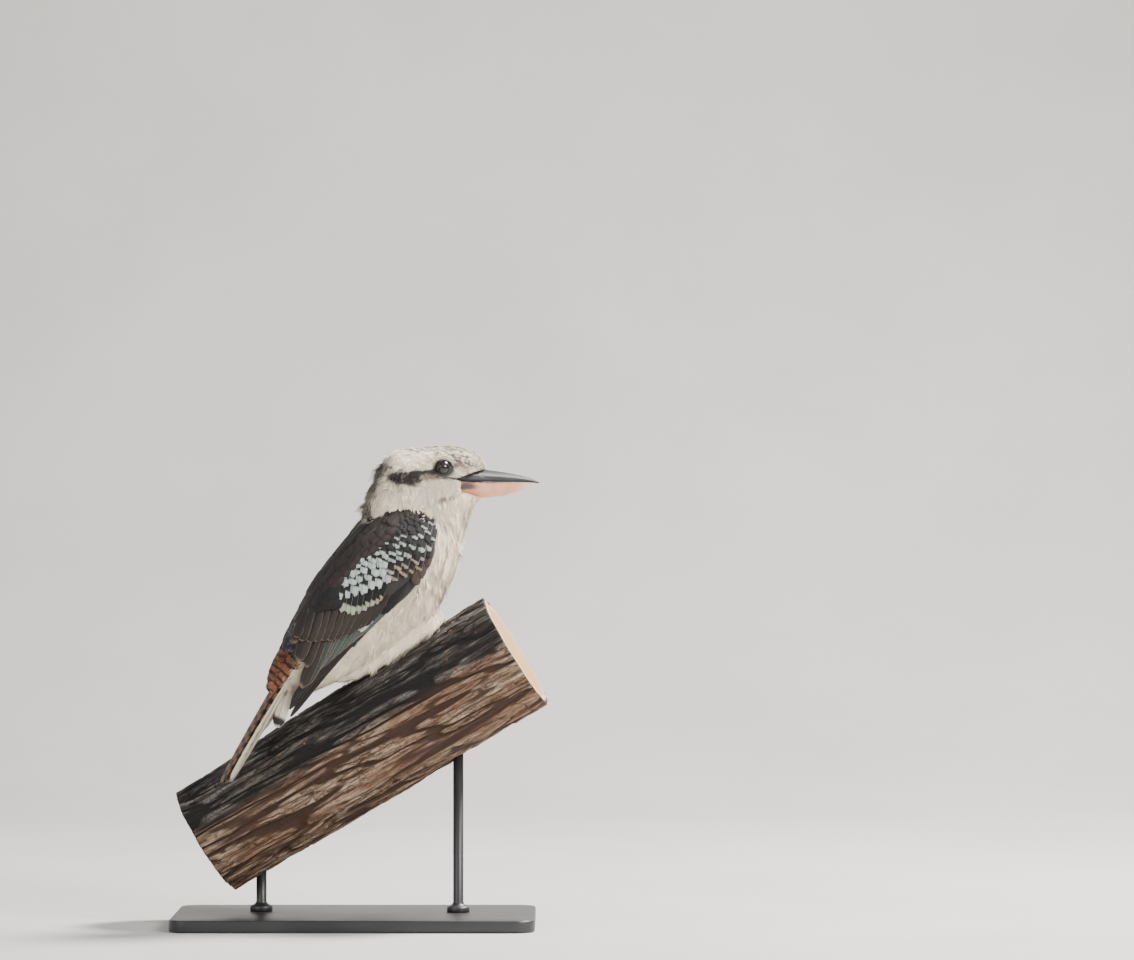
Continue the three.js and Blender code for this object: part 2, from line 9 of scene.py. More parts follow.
import bpy
import numpy as np
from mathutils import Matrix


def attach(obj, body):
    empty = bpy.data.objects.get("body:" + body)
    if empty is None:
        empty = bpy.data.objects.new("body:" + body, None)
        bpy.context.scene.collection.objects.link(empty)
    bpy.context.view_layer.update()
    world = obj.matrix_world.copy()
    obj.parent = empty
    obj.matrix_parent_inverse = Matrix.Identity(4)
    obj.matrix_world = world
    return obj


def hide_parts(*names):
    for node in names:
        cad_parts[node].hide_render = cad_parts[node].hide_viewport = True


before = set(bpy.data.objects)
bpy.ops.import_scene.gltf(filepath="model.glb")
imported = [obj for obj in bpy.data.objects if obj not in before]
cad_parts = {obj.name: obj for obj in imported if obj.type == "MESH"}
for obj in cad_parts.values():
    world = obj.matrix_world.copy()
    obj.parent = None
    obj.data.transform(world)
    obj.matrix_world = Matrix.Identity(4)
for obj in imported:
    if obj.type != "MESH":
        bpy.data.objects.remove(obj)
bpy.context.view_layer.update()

# %% [markdown]
# ## The bird's own frame
# A bird is easiest to think about standing at the origin and facing +X, in millimetres. Every surface below
# is worked out there, and one function turns the result by 18 degrees, lifts it onto the limb and makes
# it metres. The other choice, to build in the world's frame, would put that turn into every formula.

# %% From the bird's frame to the world
rng = np.random.default_rng(41)
BIRD_YAW = math.radians(18)
FEET_AT = np.array([43.6, 0.0, 264.8])
MM = 0.001


def to_world(points):
    """Points in the bird's frame, in mm, turned about Z by the yaw, moved to the feet, in metres."""
    c, s = math.cos(BIRD_YAW), math.sin(BIRD_YAW)
    turned = points @ np.array([[c, s, 0], [-s, c, 0], [0, 0, 1]])
    return (turned + FEET_AT) * MM


def unit(vectors):
    """Each vector divided by its own length."""
    return vectors / np.maximum(np.linalg.norm(vectors, axis=-1, keepdims=True), 1e-9)


def smooth(low, high, value):
    """0 below low, 1 above high, and a smooth ramp between."""
    t = np.clip((value - low) / (high - low), 0, 1)
    return t * t * (3 - 2 * t)


def angles(count):
    """That many angles, from 0 and evenly round a circle."""
    return np.linspace(0, 2 * math.pi, count, endpoint=False)


def mix(a, b, share):
    """a where the share is 0 and b where it is 1, and evenly between."""
    return a + (b - a) * share

# %% [markdown]
# ## The limb's place
# Belly, toes and tail all meet the limb, so its line is needed before the bird. The limb is a long cone
# with a slope of 31.5 degrees. Its distance from any place is one short sum, which later lets the belly
# feathers settle on it and the toes close over it.

# %% Where the limb lies
LIMB_SLOPE = math.radians(31.5)
LIMB_YAW = math.radians(-4)
LIMB_RADIUS, LIMB_TAPER = 58.0, 0.014
LIMB_BEHIND, LIMB_BELOW_FEET, LIMB_ABOVE_FEET = 10.0, 258.0, 96.0
limb_run = np.array([math.cos(LIMB_SLOPE) * math.cos(LIMB_YAW), math.cos(LIMB_SLOPE) * math.sin(LIMB_YAW),
                     math.sin(LIMB_SLOPE)])
limb_side = unit(np.cross([0, 0, 1], limb_run))
limb_top = np.cross(limb_run, limb_side)
limb_middle = FEET_AT - LIMB_RADIUS * limb_top + np.array([0, LIMB_BEHIND, 0])


def limb_gap(points):
    """How far places in the bird's frame are from the limb's plain outside, in mm."""
    away = to_world(points) / MM - limb_middle
    run = away @ limb_run
    return np.hypot(away @ limb_top, away @ limb_side) - (LIMB_RADIUS + LIMB_TAPER * run)

# %% [markdown]
# ## Smooth tables
# A bird's body has no formula, but a few measured sections say it well. A smooth curve runs through the
# rows of such a table, column by column, so that a surface is a function of two numbers: how far along
# the table, and how far round the section.

# %% A smooth curve through a table's rows
def along(table, key):
    """The row at each key: cubic pieces whose slopes come from the neighbouring rows."""
    rows = np.asarray(table, float)
    if rows[0, 0] > rows[-1, 0]:
        rows = rows[::-1]
    key = np.asarray(key, float)
    last = len(rows) - 1
    i = np.clip(np.searchsorted(rows[:, 0], key, side="right") - 1, 0, last - 1)
    p, q = rows[i], rows[i + 1]
    before, after = rows[np.maximum(i - 1, 0)], rows[np.minimum(i + 2, last)]
    span = q[..., :1] - p[..., :1]
    t = (key[..., None] - p[..., :1]) / span
    m0 = (q - before) / (q[..., :1] - before[..., :1]) * span
    m1 = (after - p) / (after[..., :1] - p[..., :1]) * span
    t2, t3 = t * t, t * t * t
    return (2 * t3 - 3 * t2 + 1) * p + (t3 - 2 * t2 + t) * m0 + (3 * t2 - 2 * t3) * q + (t3 - t2) * m1

# %% [markdown]
# ## Meshes from arrays
# Tens of thousands of feathers are too many for a loop over vertices. Each helper here works out whole
# arrays and hands them to Blender at once, with a UV map and colour attributes for the materials. A form
# that closes on itself has a seam and two poles: its UV parts there, while its points are shared.

# %% Mesh helpers
def make_mesh(name, points, quads, material, uv=None, bake=None, colours=None, values=None, same=None):
    """One mesh object at the origin. points are metres, quads are rows of four point numbers. same gives
    for each point the number of the point that it is one with, where a seam or a pole is closed."""
    mesh = bpy.data.meshes.new(name)
    points = np.ascontiguousarray(points, np.float32).reshape(-1, 3)
    quads = np.ascontiguousarray(quads, np.int32).reshape(-1, 4)
    kept, number = np.unique(np.arange(len(points)) if same is None else same.ravel(), return_inverse=True)
    faces = number.ravel()[quads].astype(np.int32)
    real = faces != np.roll(faces, -1, axis=1)
    sizes = real.sum(1)
    mesh.vertices.add(len(kept))
    mesh.vertices.foreach_set("co", points[kept].ravel())
    mesh.loops.add(int(sizes.sum()))
    mesh.loops.foreach_set("vertex_index", faces[real])
    mesh.polygons.add(len(quads))
    mesh.polygons.foreach_set("loop_start", (np.cumsum(sizes) - sizes).astype(np.int32))
    mesh.polygons.foreach_set("use_smooth", np.ones(len(quads), bool))
    mesh.update(calc_edges=True)
    for label, chart in (("Shape", uv), ("OFBake", bake)):
        if chart is not None:
            layer = mesh.uv_layers.new(name=label)
            per_corner = np.asarray(chart, np.float32).reshape(-1, 2)[quads[real]]
            layer.data.foreach_set("uv", per_corner.ravel())
    for label, rgb in (colours or {}).items():
        layer = mesh.color_attributes.new(label, "FLOAT_COLOR", "POINT")
        with_alpha = np.ones((len(kept), 4), np.float32)
        with_alpha[:, :3] = np.asarray(rgb, np.float32).reshape(-1, 3)[kept]
        layer.data.foreach_set("color", with_alpha.ravel())
    for label, value in (values or {}).items():
        layer = mesh.attributes.new(label, "FLOAT", "POINT")
        layer.data.foreach_set("value", np.asarray(value, np.float32).ravel()[kept])
    mesh.materials.append(material)
    piece = bpy.data.objects.new(name, mesh)
    bpy.context.scene.collection.objects.link(piece)
    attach(piece, "root")
    return piece


def grid_quads(rows, columns, closed=False, copies=1):
    """Faces of a grid of points, or of many like grids that follow one another. A closed grid wraps."""
    r = np.arange(rows - 1)[:, None]
    c = np.arange(columns if closed else columns - 1)[None, :]
    d = (c + 1) % columns
    one = np.stack([r * columns + c, r * columns + d, (r + 1) * columns + d, (r + 1) * columns + c], -1)
    one = one.reshape(-1, 4)
    start = np.arange(copies)[:, None, None] * rows * columns
    return (start + one).reshape(-1, 4)


def grid_chart(grid):
    """A UV for each point of a grid: across its columns and up its rows, both from 0 to 1."""
    rows, columns = grid.shape[:2]
    return np.stack(np.meshgrid(np.linspace(0, 1, columns), np.linspace(0, 1, rows)), -1)


def shut_grid(points, ring=False):
    """A grid with its seam closed: its first column stands again behind its last, so that each side of the
    seam has its own UV. Its ends are drawn in to their middle, or joined where it is a ring. Also
    returns, for each point, the number of the point that it is one with."""
    if ring:
        points = np.concatenate([points, points[:1]])
    else:
        first, last = [row.mean(1, keepdims=True) + 0 * row for row in (points[:1], points[-1:])]
        near = mix(points[:1], first, 0.5), mix(points[-1:], last, 0.5)
        points = np.concatenate([first, near[0], points, near[1], last])
    points = np.concatenate([points, points[:, :1]], 1)
    same = np.arange(points.shape[0] * points.shape[1]).reshape(points.shape[:2])
    if ring:
        same[-1] = same[0]
    else:
        same[0], same[-1] = same[0, 0], same[-1, 0]
    same[:, -1] = same[:, 0]
    return points, same


def surface(name, points, material, turn_out=False, ring=False, **layers):
    """A grid of points in metres as one closed piece, with its charts, colours and values."""
    points, same = shut_grid(points, ring)
    for label, layer in list(layers.items()):
        if label in ("uv", "bake"):
            layer = np.concatenate([layer, 2 * layer[:, -1:] - layer[:, -2:-1]], 1)
            more = [2 * layer[-1:] - layer[-2:-1]] if ring else [layer[-1:], layer[-1:]]
            layers[label] = np.concatenate([layer] + more if ring else [layer[:1], layer[:1], layer] + more)
        else:
            ends = (0, 1) if ring else (2, 2)
            layers[label] = {
                key: np.pad(value, [ends, (0, 1)] + [(0, 0)] * (np.ndim(value) - 2), mode="edge")
                for key, value in layer.items()
            }
    quads = grid_quads(*points.shape[:2])
    if turn_out:
        quads = quads[:, ::-1]
    return make_mesh(name, points, quads, material, same=same, **layers)

# %% [markdown]
# ## Paint for feathers
# A feather's web is made of barbs that leave the shaft at a slant, so it shines and darkens in fine lines.
# One node group draws the barbs and the shaft from the feather's own UV map, and each plumage material uses
# it with its own values. Image textures would blur close up, and noise alone would look like felt.

# %% Node helpers
def linear(red, green, blue):
    """A colour as the eye names it, 0 to 255, as Blender's linear light."""
    share = np.array([red, green, blue]) / 255
    return np.where(share <= 0.04045, share / 12.92, ((share + 0.055) / 1.055) ** 2.4)


class Tree:
    """A thin cover over a node tree: add() makes a node, sets its sockets and returns it."""

    def __init__(self, tree):
        self.tree = tree

    def add(self, kind, settings=None, **sockets):
        node = self.tree.nodes.new(kind)
        for label, value in (settings or {}).items():
            setattr(node, label, value)
        for label, value in sockets.items():
            numbered = label.startswith("in_")
            self.feed(node.inputs[int(label[3:]) if numbered else label.replace("_", " ")], value)
        return node

    def feed(self, socket, value):
        """Joins another socket to this one, or sets its value. A colour may leave out its alpha."""
        if isinstance(value, bpy.types.NodeSocket):
            self.tree.links.new(value, socket)
        elif socket.type == "RGBA" and len(value) == 3:
            socket.default_value = (*[float(v) for v in value], 1.0)
        else:
            socket.default_value = value

    def place(self):
        """The place on the object itself, in metres."""
        return self.add("ShaderNodeTexCoord").outputs["Object"]

    def chart(self):
        """The piece's own UV map, taken apart: X across and Y along."""
        uv = self.add("ShaderNodeUVMap", {"uv_map": "Shape"}).outputs[0]
        return self.add("ShaderNodeSeparateXYZ", Vector=uv).outputs

    def math(self, kind, first, second=0.5):
        """One sum of two numbers, each a socket or a value."""
        return self.add("ShaderNodeMath", {"operation": kind}, in_0=first, in_1=second).outputs[0]

    def plus(self, first, second):
        return self.math("ADD", first, second)

    def times(self, first, second):
        return self.math("MULTIPLY", first, second)

    def blend(self, share, first, second, kind="MIX"):
        """The first colour where the share is 0 and the second where it is 1."""
        settings = {"data_type": "RGBA", "blend_type": kind}
        return self.add("ShaderNodeMix", settings, in_0=share, in_6=first, in_7=second).outputs[2]

    def tinted(self, colour, tint):
        """A colour times a tint, channel by channel."""
        return self.blend(1.0, colour, tint, "MULTIPLY")

    def ramp(self, value, low, high):
        """0 at low and 1 at high, with a smooth slope between. It falls where low is the larger one."""
        node = self.add("ShaderNodeMapRange", {"interpolation_type": "SMOOTHSTEP"}, Value=value)
        node.inputs["From Min"].default_value = low
        node.inputs["From Max"].default_value = high
        return node.outputs["Result"]

    def noise(self, place, scale, detail, roughness, stretch=(1, 1, 1)):
        """Noise from 0 to 1 at a place whose axes are first multiplied by stretch."""
        moved = self.add("ShaderNodeMapping", Vector=place, Scale=stretch).outputs[0]
        node = self.add("ShaderNodeTexNoise", Vector=moved, Scale=scale, Detail=detail, Roughness=roughness)
        return node.outputs["Fac"]

    def cells(self, place, scale):
        """Distance from the edges of irregular cells."""
        settings = {"feature": "DISTANCE_TO_EDGE"}
        return self.add("ShaderNodeTexVoronoi", settings, Vector=place, Scale=scale).outputs["Distance"]

    def attribute(self, label, output="Color"):
        """What the mesh says of itself: a colour, or with Fac a number."""
        return self.add("ShaderNodeAttribute", {"attribute_name": label}).outputs[output]


def new_group(name, inputs, outputs):
    """A node group with named number sockets. Returns its tree cover and its input and output nodes."""
    tree = bpy.data.node_groups.new(name, "ShaderNodeTree")
    for way, labels in (("INPUT", inputs), ("OUTPUT", outputs)):
        for label in labels:
            tree.interface.new_socket(label, in_out=way, socket_type="NodeSocketFloat")
    cover = Tree(tree)
    return cover, cover.add("NodeGroupInput"), cover.add("NodeGroupOutput")


def new_material(name, **shader):
    """A material with one Principled shader whose constant sockets are set here."""
    material = bpy.data.materials.new(name)
    material.use_nodes = True
    cover = Tree(material.node_tree)
    principled = material.node_tree.nodes["Principled BSDF"]
    for label, value in shader.items():
        principled.inputs[label.replace("_", " ")].default_value = value
    return material, cover, principled


def cover_with(cover, principled, colour, height=None, distance=0.0, strength=1.0):
    """Joins a colour to the shader, and a height through one Bump node. distance is in metres."""
    cover.feed(principled.inputs["Base Color"], colour)
    if height is not None:
        bump = cover.add("ShaderNodeBump", Height=height, Distance=distance, Strength=strength)
        cover.feed(principled.inputs["Normal"], bump.outputs[0])

# %% The barbs and the shaft of a vane
def barb_group():
    """Barbs are stripes that slant back from the shaft on both sides. Slant says how far they run along the
    vane for each width across it. Slower noise along the barbs makes some lighter and parts the web."""
    inputs, outputs = ("Across", "Along", "Barbs", "Slant", "Seed"), ("Shade", "Height", "Shaft")
    tree, given, result = new_group("feather_barbs", inputs, outputs)
    side = tree.math("ABSOLUTE", tree.math("SUBTRACT", given.outputs["Across"], 0.5))
    behind_shaft = tree.times(side, given.outputs["Slant"])
    slant = tree.math("SUBTRACT", given.outputs["Along"], behind_shaft)
    place = tree.times(slant, given.outputs["Barbs"])
    wave = tree.math("SINE", tree.times(place, 2 * math.pi))
    spot_at = tree.add("ShaderNodeCombineXYZ", X=place, Y=given.outputs["Across"], Z=given.outputs["Seed"])
    uneven = tree.noise(spot_at.outputs[0], 0.7, 4.0, 0.7, (1, 2.0, 1))
    shade = tree.plus(tree.times(wave, 0.12), uneven)
    shaft = tree.math("SUBTRACT", 1.0, tree.ramp(side, 0.012, 0.035))
    height = tree.plus(tree.times(shade, 0.7), tree.times(shaft, 0.8))
    for label, value in (("Shade", shade), ("Height", height), ("Shaft", shaft)):
        tree.feed(result.inputs[label], value)
    return tree.tree


BARBS = barb_group()


def vane_material(name, edge_from, barbs, slant=0.55, bar_wobble=0.35, bar_width=0.35, stagger=0.0,
                  depth=0.00035):
    """A vane's own colours: tint on the inner web, outer on the other, tip at its end, edge round it and
    bars across it. stagger shifts the outer web's bars, in radians."""
    material, cover, shader = new_material(
        name, Roughness=0.55, Specular_IOR_Level=0.3, Sheen_Weight=0.05, Sheen_Roughness=0.5,
    )
    across, run = cover.chart()[:2]
    seed = cover.attribute("seed", "Fac")
    barb = cover.add("ShaderNodeGroup", {"node_tree": BARBS}, Across=across, Along=run, Barbs=barbs,
                     Slant=slant, Seed=seed)
    shade, height, shaft = [barb.outputs[k] for k in ("Shade", "Height", "Shaft")]
    side = cover.times(cover.math("ABSOLUTE", cover.math("SUBTRACT", across, 0.5)), 2.0)
    ragged = cover.math("SUBTRACT", shade, 0.5)
    outer_share = cover.ramp(across, 0.49, 0.53)
    colour = cover.blend(outer_share, cover.attribute("tint"), cover.attribute("outer"))
    bars = cover.attribute("bars", "Fac")
    wobble = cover.times(ragged, bar_wobble * 0.5)
    phase = cover.times(cover.plus(run, wobble), cover.times(bars, 2 * math.pi))
    phase = cover.plus(phase, cover.times(outer_share, stagger))
    band = cover.ramp(cover.math("SINE", phase), bar_width, bar_width + 0.2)
    banded = cover.times(band, cover.ramp(bars, 0.5, 1.0))
    tip_place = cover.plus(run, cover.times(ragged, 0.16))
    past = cover.math("SUBTRACT", tip_place, cover.attribute("tip_from", "Fac"))
    colour = cover.blend(cover.ramp(past, 0.0, 0.06), colour, cover.attribute("tip"))
    rim_place = cover.plus(side, cover.times(ragged, 0.2))
    rim = cover.ramp(rim_place, edge_from, edge_from + 0.14)
    end = cover.ramp(tip_place, 0.955, 0.985)
    colour = cover.blend(cover.math("MAXIMUM", rim, end), colour, cover.attribute("edge"))
    colour = cover.blend(banded, colour, cover.attribute("bar"))
    dark = cover.tinted(colour, (0.5, 0.5, 0.53))
    colour = cover.blend(cover.ramp(shade, 0.68, 0.28), colour, dark)
    shaft_colour = cover.tinted(colour, (0.35, 0.3, 0.28))
    colour = cover.blend(cover.times(shaft, 0.8), colour, shaft_colour)
    cover_with(cover, shader, colour, height, depth)
    return material


def tuft_material(name):
    """Soft plumage: the tuft's own tint, with painted shade at its root, where tufts lie over one another,
    and fine flecks.
    """
    material, cover, shader = new_material(name, Roughness=0.75, Sheen_Weight=0.14, Sheen_Roughness=0.6)
    tint = cover.attribute("tint")
    # under is the tint in painted shade. The root half of each strand fades from it to the tint, and a
    # little of it is mixed in between the flecks.
    under = cover.tinted(tint, (0.6, 0.55, 0.51))
    colour = cover.blend(cover.ramp(cover.chart()["Y"], 0.0, 0.5), under, tint)
    place = cover.place()
    fleck = cover.noise(place, 900.0, 2.0, 0.6)
    pale = cover.tinted(colour, (1.12, 1.11, 1.1))
    colour = cover.blend(cover.ramp(fleck, 0.35, 0.7), cover.blend(0.28, colour, under), pale)
    cover_with(cover, shader, colour, fleck, 0.0002, 0.5)
    return material

# %% [markdown]
# ## The body under the feathers
# One closed tube makes trunk, neck and head, with no seam between them. Its sections are the CAD model's
# own, drawn in by the depth of the coat, which is thin on the face and thick on the belly.

# %% The body as a function of two numbers
SHOULDER = np.array([0, 108.6])
ALONG_BACK = np.array([-0.7165, -0.6976])
ACROSS_BACK = np.array([0.6976, -0.7165])
TRUNK = np.array([
    [197, 11, 28, 8], [182, -1, 36.5, 15], [160, -9, 46, 21.5], [140, -16, 54, 26.5],
    [118, -23.5, 61.5, 32], [92, -31, 68.5, 37], [66, -36, 75.5, 39.5], [40, -39, 81.5, 40],
    [18, -41.3, 74, 38.5],
])
NECK_AND_HEAD = np.array([
    [-36, 131, 55.3, 79.5, 36], [-34, 143, 60, 96, 33.5], [-29, 155.5, 63.3, 110.6, 31],
    [-24, 166.5, 67.3, 122.5, 30], [-19.5, 178, 71, 130.5, 29], [-13, 189.5, 73.5, 137, 28.5],
    [0, 196.3, 76, 141.5, 28], [16, 198.7, 79, 145, 27.5], [36, 200.3, 82, 148, 25.2],
    [55, 200, 85, 149.7, 19.6], [70, 197, 87, 150.8, 14], [80.5, 190.6, 88, 151.2, 10.2],
    [87.5, 180, 88.5, 152.4, 7],
])
on_trunk = SHOULDER + TRUNK[:, :1] * ALONG_BACK
trunk_back = on_trunk + TRUNK[:, 1:2] * ACROSS_BACK
trunk_under = on_trunk + TRUNK[:, 2:3] * ACROSS_BACK
RIBS = np.vstack([np.column_stack([trunk_back, trunk_under, TRUNK[:, 3]]), NECK_AND_HEAD])
RIBS = np.column_stack([np.arange(len(RIBS)), RIBS])
LAST_RIB = len(RIBS) - 1


def body_shell(s, turn):
    """A point of the body's outside: the section at rib s, at an angle from its back, +y at 90 degrees."""
    s, turn = np.broadcast_arrays(np.asarray(s, float), np.asarray(turn, float))
    rib = along(RIBS, np.clip(s, 0, LAST_RIB))
    back, under, half = rib[..., 1:3], rib[..., 3:5], rib[..., 5]
    middle = (back + under) / 2
    reach = (back - under) / 2
    flat = middle + reach * np.cos(turn)[..., None]
    side = half * np.sin(turn) * (1 + 0.06 * np.sin(turn) ** 2)
    return np.stack([flat[..., 0], side, flat[..., 1]], -1)


def on_body(s, turn, height):
    """The body's outside, moved out along its normal by a height in mm."""
    point = body_shell(s, turn)
    step = np.where(np.asarray(s) > LAST_RIB - 0.05, -0.02, 0.02)
    ahead = (body_shell(s + step, turn) - point) * np.sign(step)[..., None]
    round_it = body_shell(s, turn + 0.02) - point
    return point + unit(np.cross(ahead, round_it)) * np.asarray(height)[..., None]


def body_metric(s, turn):
    """Millimetres for each rib, and for each radian, at a place on the body."""
    point = body_shell(s, turn)
    per_rib = np.linalg.norm(body_shell(s - 0.05, turn) - point, axis=-1) / 0.05
    per_turn = np.linalg.norm(body_shell(s, turn + 0.05) - point, axis=-1) / 0.05
    return np.maximum(per_rib, 0.5), np.maximum(per_turn, 2.0)


def off_back(turn):
    """The angle from the back, 0 to pi, on either side."""
    return np.abs((turn + math.pi) % (2 * math.pi) - math.pi)

# %% How deep the skin lies
BILL_FEATHER_EDGE = np.array([
    [147, 92], [149.5, 75], [152.8, 63], [154.2, 57], [159, 55], [163, 56], [166, 54], [168, 47],
    [169.8, 50], [171.4, 58], [174.3, 67], [176.3, 76], [178, 88], [180, 96],
])


def bare_for_bill(points):
    """1 where the bill shows and no feather grows, 0 behind the slanting line where the feathers start."""
    edge = np.interp(points[..., 2], BILL_FEATHER_EDGE[:, 0], BILL_FEATHER_EDGE[:, 1])
    return smooth(-1.5, 1.5, points[..., 0] - edge)


def coat_depth(s):
    """Depth of the coat in mm: deepest on the trunk, thin on the face."""
    return np.interp(s, [0, 8, 10.5, 13.5, 17, 21], [3.0, 3.8, 3.4, 2.4, 1.7, 1.1])


def skin_height(s, turn):
    """Height of the skin over the body's outside: under by the coat's depth, deeper round the bill, and let
    down under the belly, where the plumage settles on the limb."""
    point = body_shell(s, turn)
    gap = limb_gap(point)
    settles = smooth(1.75, 2.6, off_back(turn)) * (1 - smooth(10, 17, gap))
    sag = np.clip(gap - 0.5, 0, 8.5) * settles
    return sag - coat_depth(s) - 3.4 * bare_for_bill(point)

# %% [markdown]
# ## The markings
# A kookaburra's head is cream with a brown mask from the ear to the eye, a brown line down the nape and
# streaks on the forehead. The skin and each tuft ask one function for their colour, so they always
# agree. It works in the bird's frame, seen from the side, so both sides get the same marks.

# %% Colours of the plumage
CREAM = linear(236, 224, 202)
# The crown's colour: partly its own pale cream, partly painted light on the top of the head.
PALE_LIT_CROWN = linear(248, 240, 224)
CHEEK = linear(214, 203, 185)
THROAT = linear(228, 208, 178)
FLANK = linear(206, 195, 175)
MASK = linear(30, 25, 23)
STREAK = linear(92, 70, 52)
BUFF = linear(165, 138, 104)
MANTLE = linear(37, 29, 26)
RUMP = linear(122, 138, 140)
RUFOUS = linear(134, 80, 50)
BAR_BLACK = linear(24, 20, 20)


def spot(x, z, centre_x, centre_z, reach_x, reach_z, slope=0.0, soft=0.45):
    """An oval mask, 1 inside and 0 outside, whose long axis rises by slope."""
    dx = x - centre_x
    dz = z - centre_z - slope * dx
    away = np.sqrt((dx / reach_x) ** 2 + (dz / reach_z) ** 2)
    return 1 - smooth(1 - soft, 1 + soft, away)


def hash_noise(*places):
    """Random-looking values from 0 to 1, the same for the same whole numbers."""
    total = sum(np.asarray(p) * k for p, k in zip(places, (12.9898, 78.233, 37.719)))
    wave = np.sin(total) * 43758.5453
    return wave - np.floor(wave)


def field(x, y, z):
    """Soft noise from 0 to 1: values at whole places, blended smoothly between them."""
    ix, iy, iz = np.floor(x), np.floor(y), np.floor(z)
    fx, fy, fz = [smooth(0, 1, v - i) for v, i in ((x, ix), (y, iy), (z, iz))]
    total = 0
    for a in (0, 1):
        for b in (0, 1):
            for c in (0, 1):
                weight = (fx if a else 1 - fx) * (fy if b else 1 - fy) * (fz if c else 1 - fz)
                total = total + weight * hash_noise(ix + a, iy + b, iz + c)
    return total


def markings(points, s, turn):
    """The plumage's colour at places on the body, from masks seen from the side and from the back."""
    x, y, z = points[..., 0], np.abs(points[..., 1]), points[..., 2]
    from_back = off_back(turn)
    colour = np.broadcast_to(CREAM, points.shape).copy()

    def paint(tint, mask):
        """Lays a tint over what is there, as far as the mask says."""
        colour[...] = mix(colour, tint, np.clip(mask, 0, 1)[..., None])

    side = np.exp(-((from_back - 1.6) / 0.62) ** 2)
    paint(CHEEK, side * smooth(9.5, 13, s) * 0.9)
    paint(FLANK, side * (1 - smooth(6.5, 10.5, s)) * 0.75)
    paint(THROAT, smooth(2.2, 2.9, from_back) * smooth(11.5, 14, s) * 0.8)
    # The top of the head is painted brighter: partly the crown's own pale colour, partly painted light from
    # above.
    paint(PALE_LIT_CROWN, (1 - smooth(0.75, 1.3, from_back)) * smooth(13.5, 15, s))
    # A band just above the mask is painted a darker buff: painted shade on the lower side of the crown.
    paint(THROAT, spot(x, z, 22, 183, 34, 5, 0.02, 0.6) * 0.55)
    ripple = field(x * 0.35, y * 0.35, z * 0.9)
    paint(FLANK * 0.68, smooth(0.56, 0.78, ripple) * side * (1 - smooth(8, 11, s)) * 0.5)
    streaks = smooth(0.42, 0.6, field(x * 0.3, y * 0.8, z * 0.8))
    forehead = spot(x, z, 59, 187, 15, 9, -0.4) * smooth(7, 11, y) + 0.5 * spot(x, z, 66, 192, 14, 7)
    paint(STREAK, np.clip(forehead, 0, 1) * (0.15 + 0.85 * streaks))
    paint(STREAK * 0.5, spot(x, z, 58, 186, 10, 6, -0.4) * streaks)
    speckle = smooth(0.6, 0.72, field(x * 0.5, y * 0.5, z * 0.5))
    paint(STREAK, speckle * spot(x, z, 50, 199, 26, 6) * 0.7)
    lateral = smooth(9, 15, y)
    paint(BUFF * 0.85, spot(x, z, 60, 178, 10, 5, -0.3) * lateral * 0.35)
    paint(BUFF * 0.55, spot(x, z, 22, 172.2, 12, 3.6, -0.1) * lateral * 0.8)
    paint(MASK, spot(x, z, 0, 171.4, 15.5, 7.4, -0.06, 0.25) * (1 - smooth(176.6, 178.6, z)) * lateral)
    paint(MASK * 2.2, spot(x, z, -3, 164, 12, 4, 0.1, 0.6) * lateral * streaks * 0.7)
    paint(MASK, spot(x, z, 12, 175.8, 22, 2.5, 0.02, 0.35) * lateral)
    paint(MASK, spot(x, z, 36.5, 178.6, 11.2, 9.0, 0.0, 0.16) * lateral)
    paint(MASK, spot(x, z, 26.5, 175.8, 6, 3.6, 0.1, 0.4) * lateral)
    paint(MASK * 1.4, spot(x, z, 30, 170.3, 12, 1.0, -0.08, 0.5) * lateral * streaks * 0.8)
    paint(MASK * 1.3, spot(x, z, 43, 168.8, 10, 1.1, 0.04, 0.5) * lateral * 0.9)
    paint(STREAK * 0.7, spot(x, z, 22, 168.6, 14, 1.3, 0.03, 0.6) * lateral * 0.6)
    paint(STREAK * 0.6, spot(x, z, 52.5, 184, 5, 3.4, 0.6) * lateral * 0.9)
    # A thin darker line along the lower edge of the cheek feathers: painted shadow of that edge.
    paint(BUFF * 0.45, spot(x, z, 40, 150.3, 13, 1.7, 0.17, 0.6) * lateral * 0.8)
    paint(STREAK * 1.2, spot(x, z, 44, 125, 7, 9, -0.6) * smooth(20, 27, y) * streaks * 0.6)
    nape = (1 - smooth(0.24, 0.5, from_back)) * smooth(9.4, 10.2, s) * (1 - smooth(13.7, 14.6, s))
    paint(MASK, nape * (0.75 + 0.25 * streaks))
    lower_back = 1.25 - 0.1 * smooth(2, 8, s)
    back = (1 - smooth(lower_back - 0.08, lower_back + 0.12, from_back)) * (1 - smooth(8.9, 9.5, s))
    paint(MANTLE, back)
    paint(RUMP * 0.7, back * (1 - smooth(2.2, 3.0, s)))
    paint(RUFOUS, (1 - smooth(1.9, 2.3, from_back)) * (1 - smooth(1.0, 1.7, s)))
    return colour

# %% The skin
skin_paint = tuft_material("plumage_under")
tuft_paint = tuft_material("plumage")
skin_s = np.linspace(0, LAST_RIB, 260)[:, None]
skin_turn = angles(180)[None, :]
skin_s, skin_turn = np.broadcast_arrays(skin_s, skin_turn)
skin_points = on_body(skin_s, skin_turn, skin_height(skin_s, skin_turn))
skin_points[..., 1] *= 1 - 0.5 * bare_for_bill(body_shell(skin_s, skin_turn))


def unwrap(s, turn):
    """The skin laid flat: across for the angle, up for the rib, a little in from the edges."""
    return np.stack([0.02 + 0.94 * (turn % (2 * math.pi)) / (2 * math.pi), 0.02 + 0.94 * s / LAST_RIB], -1)


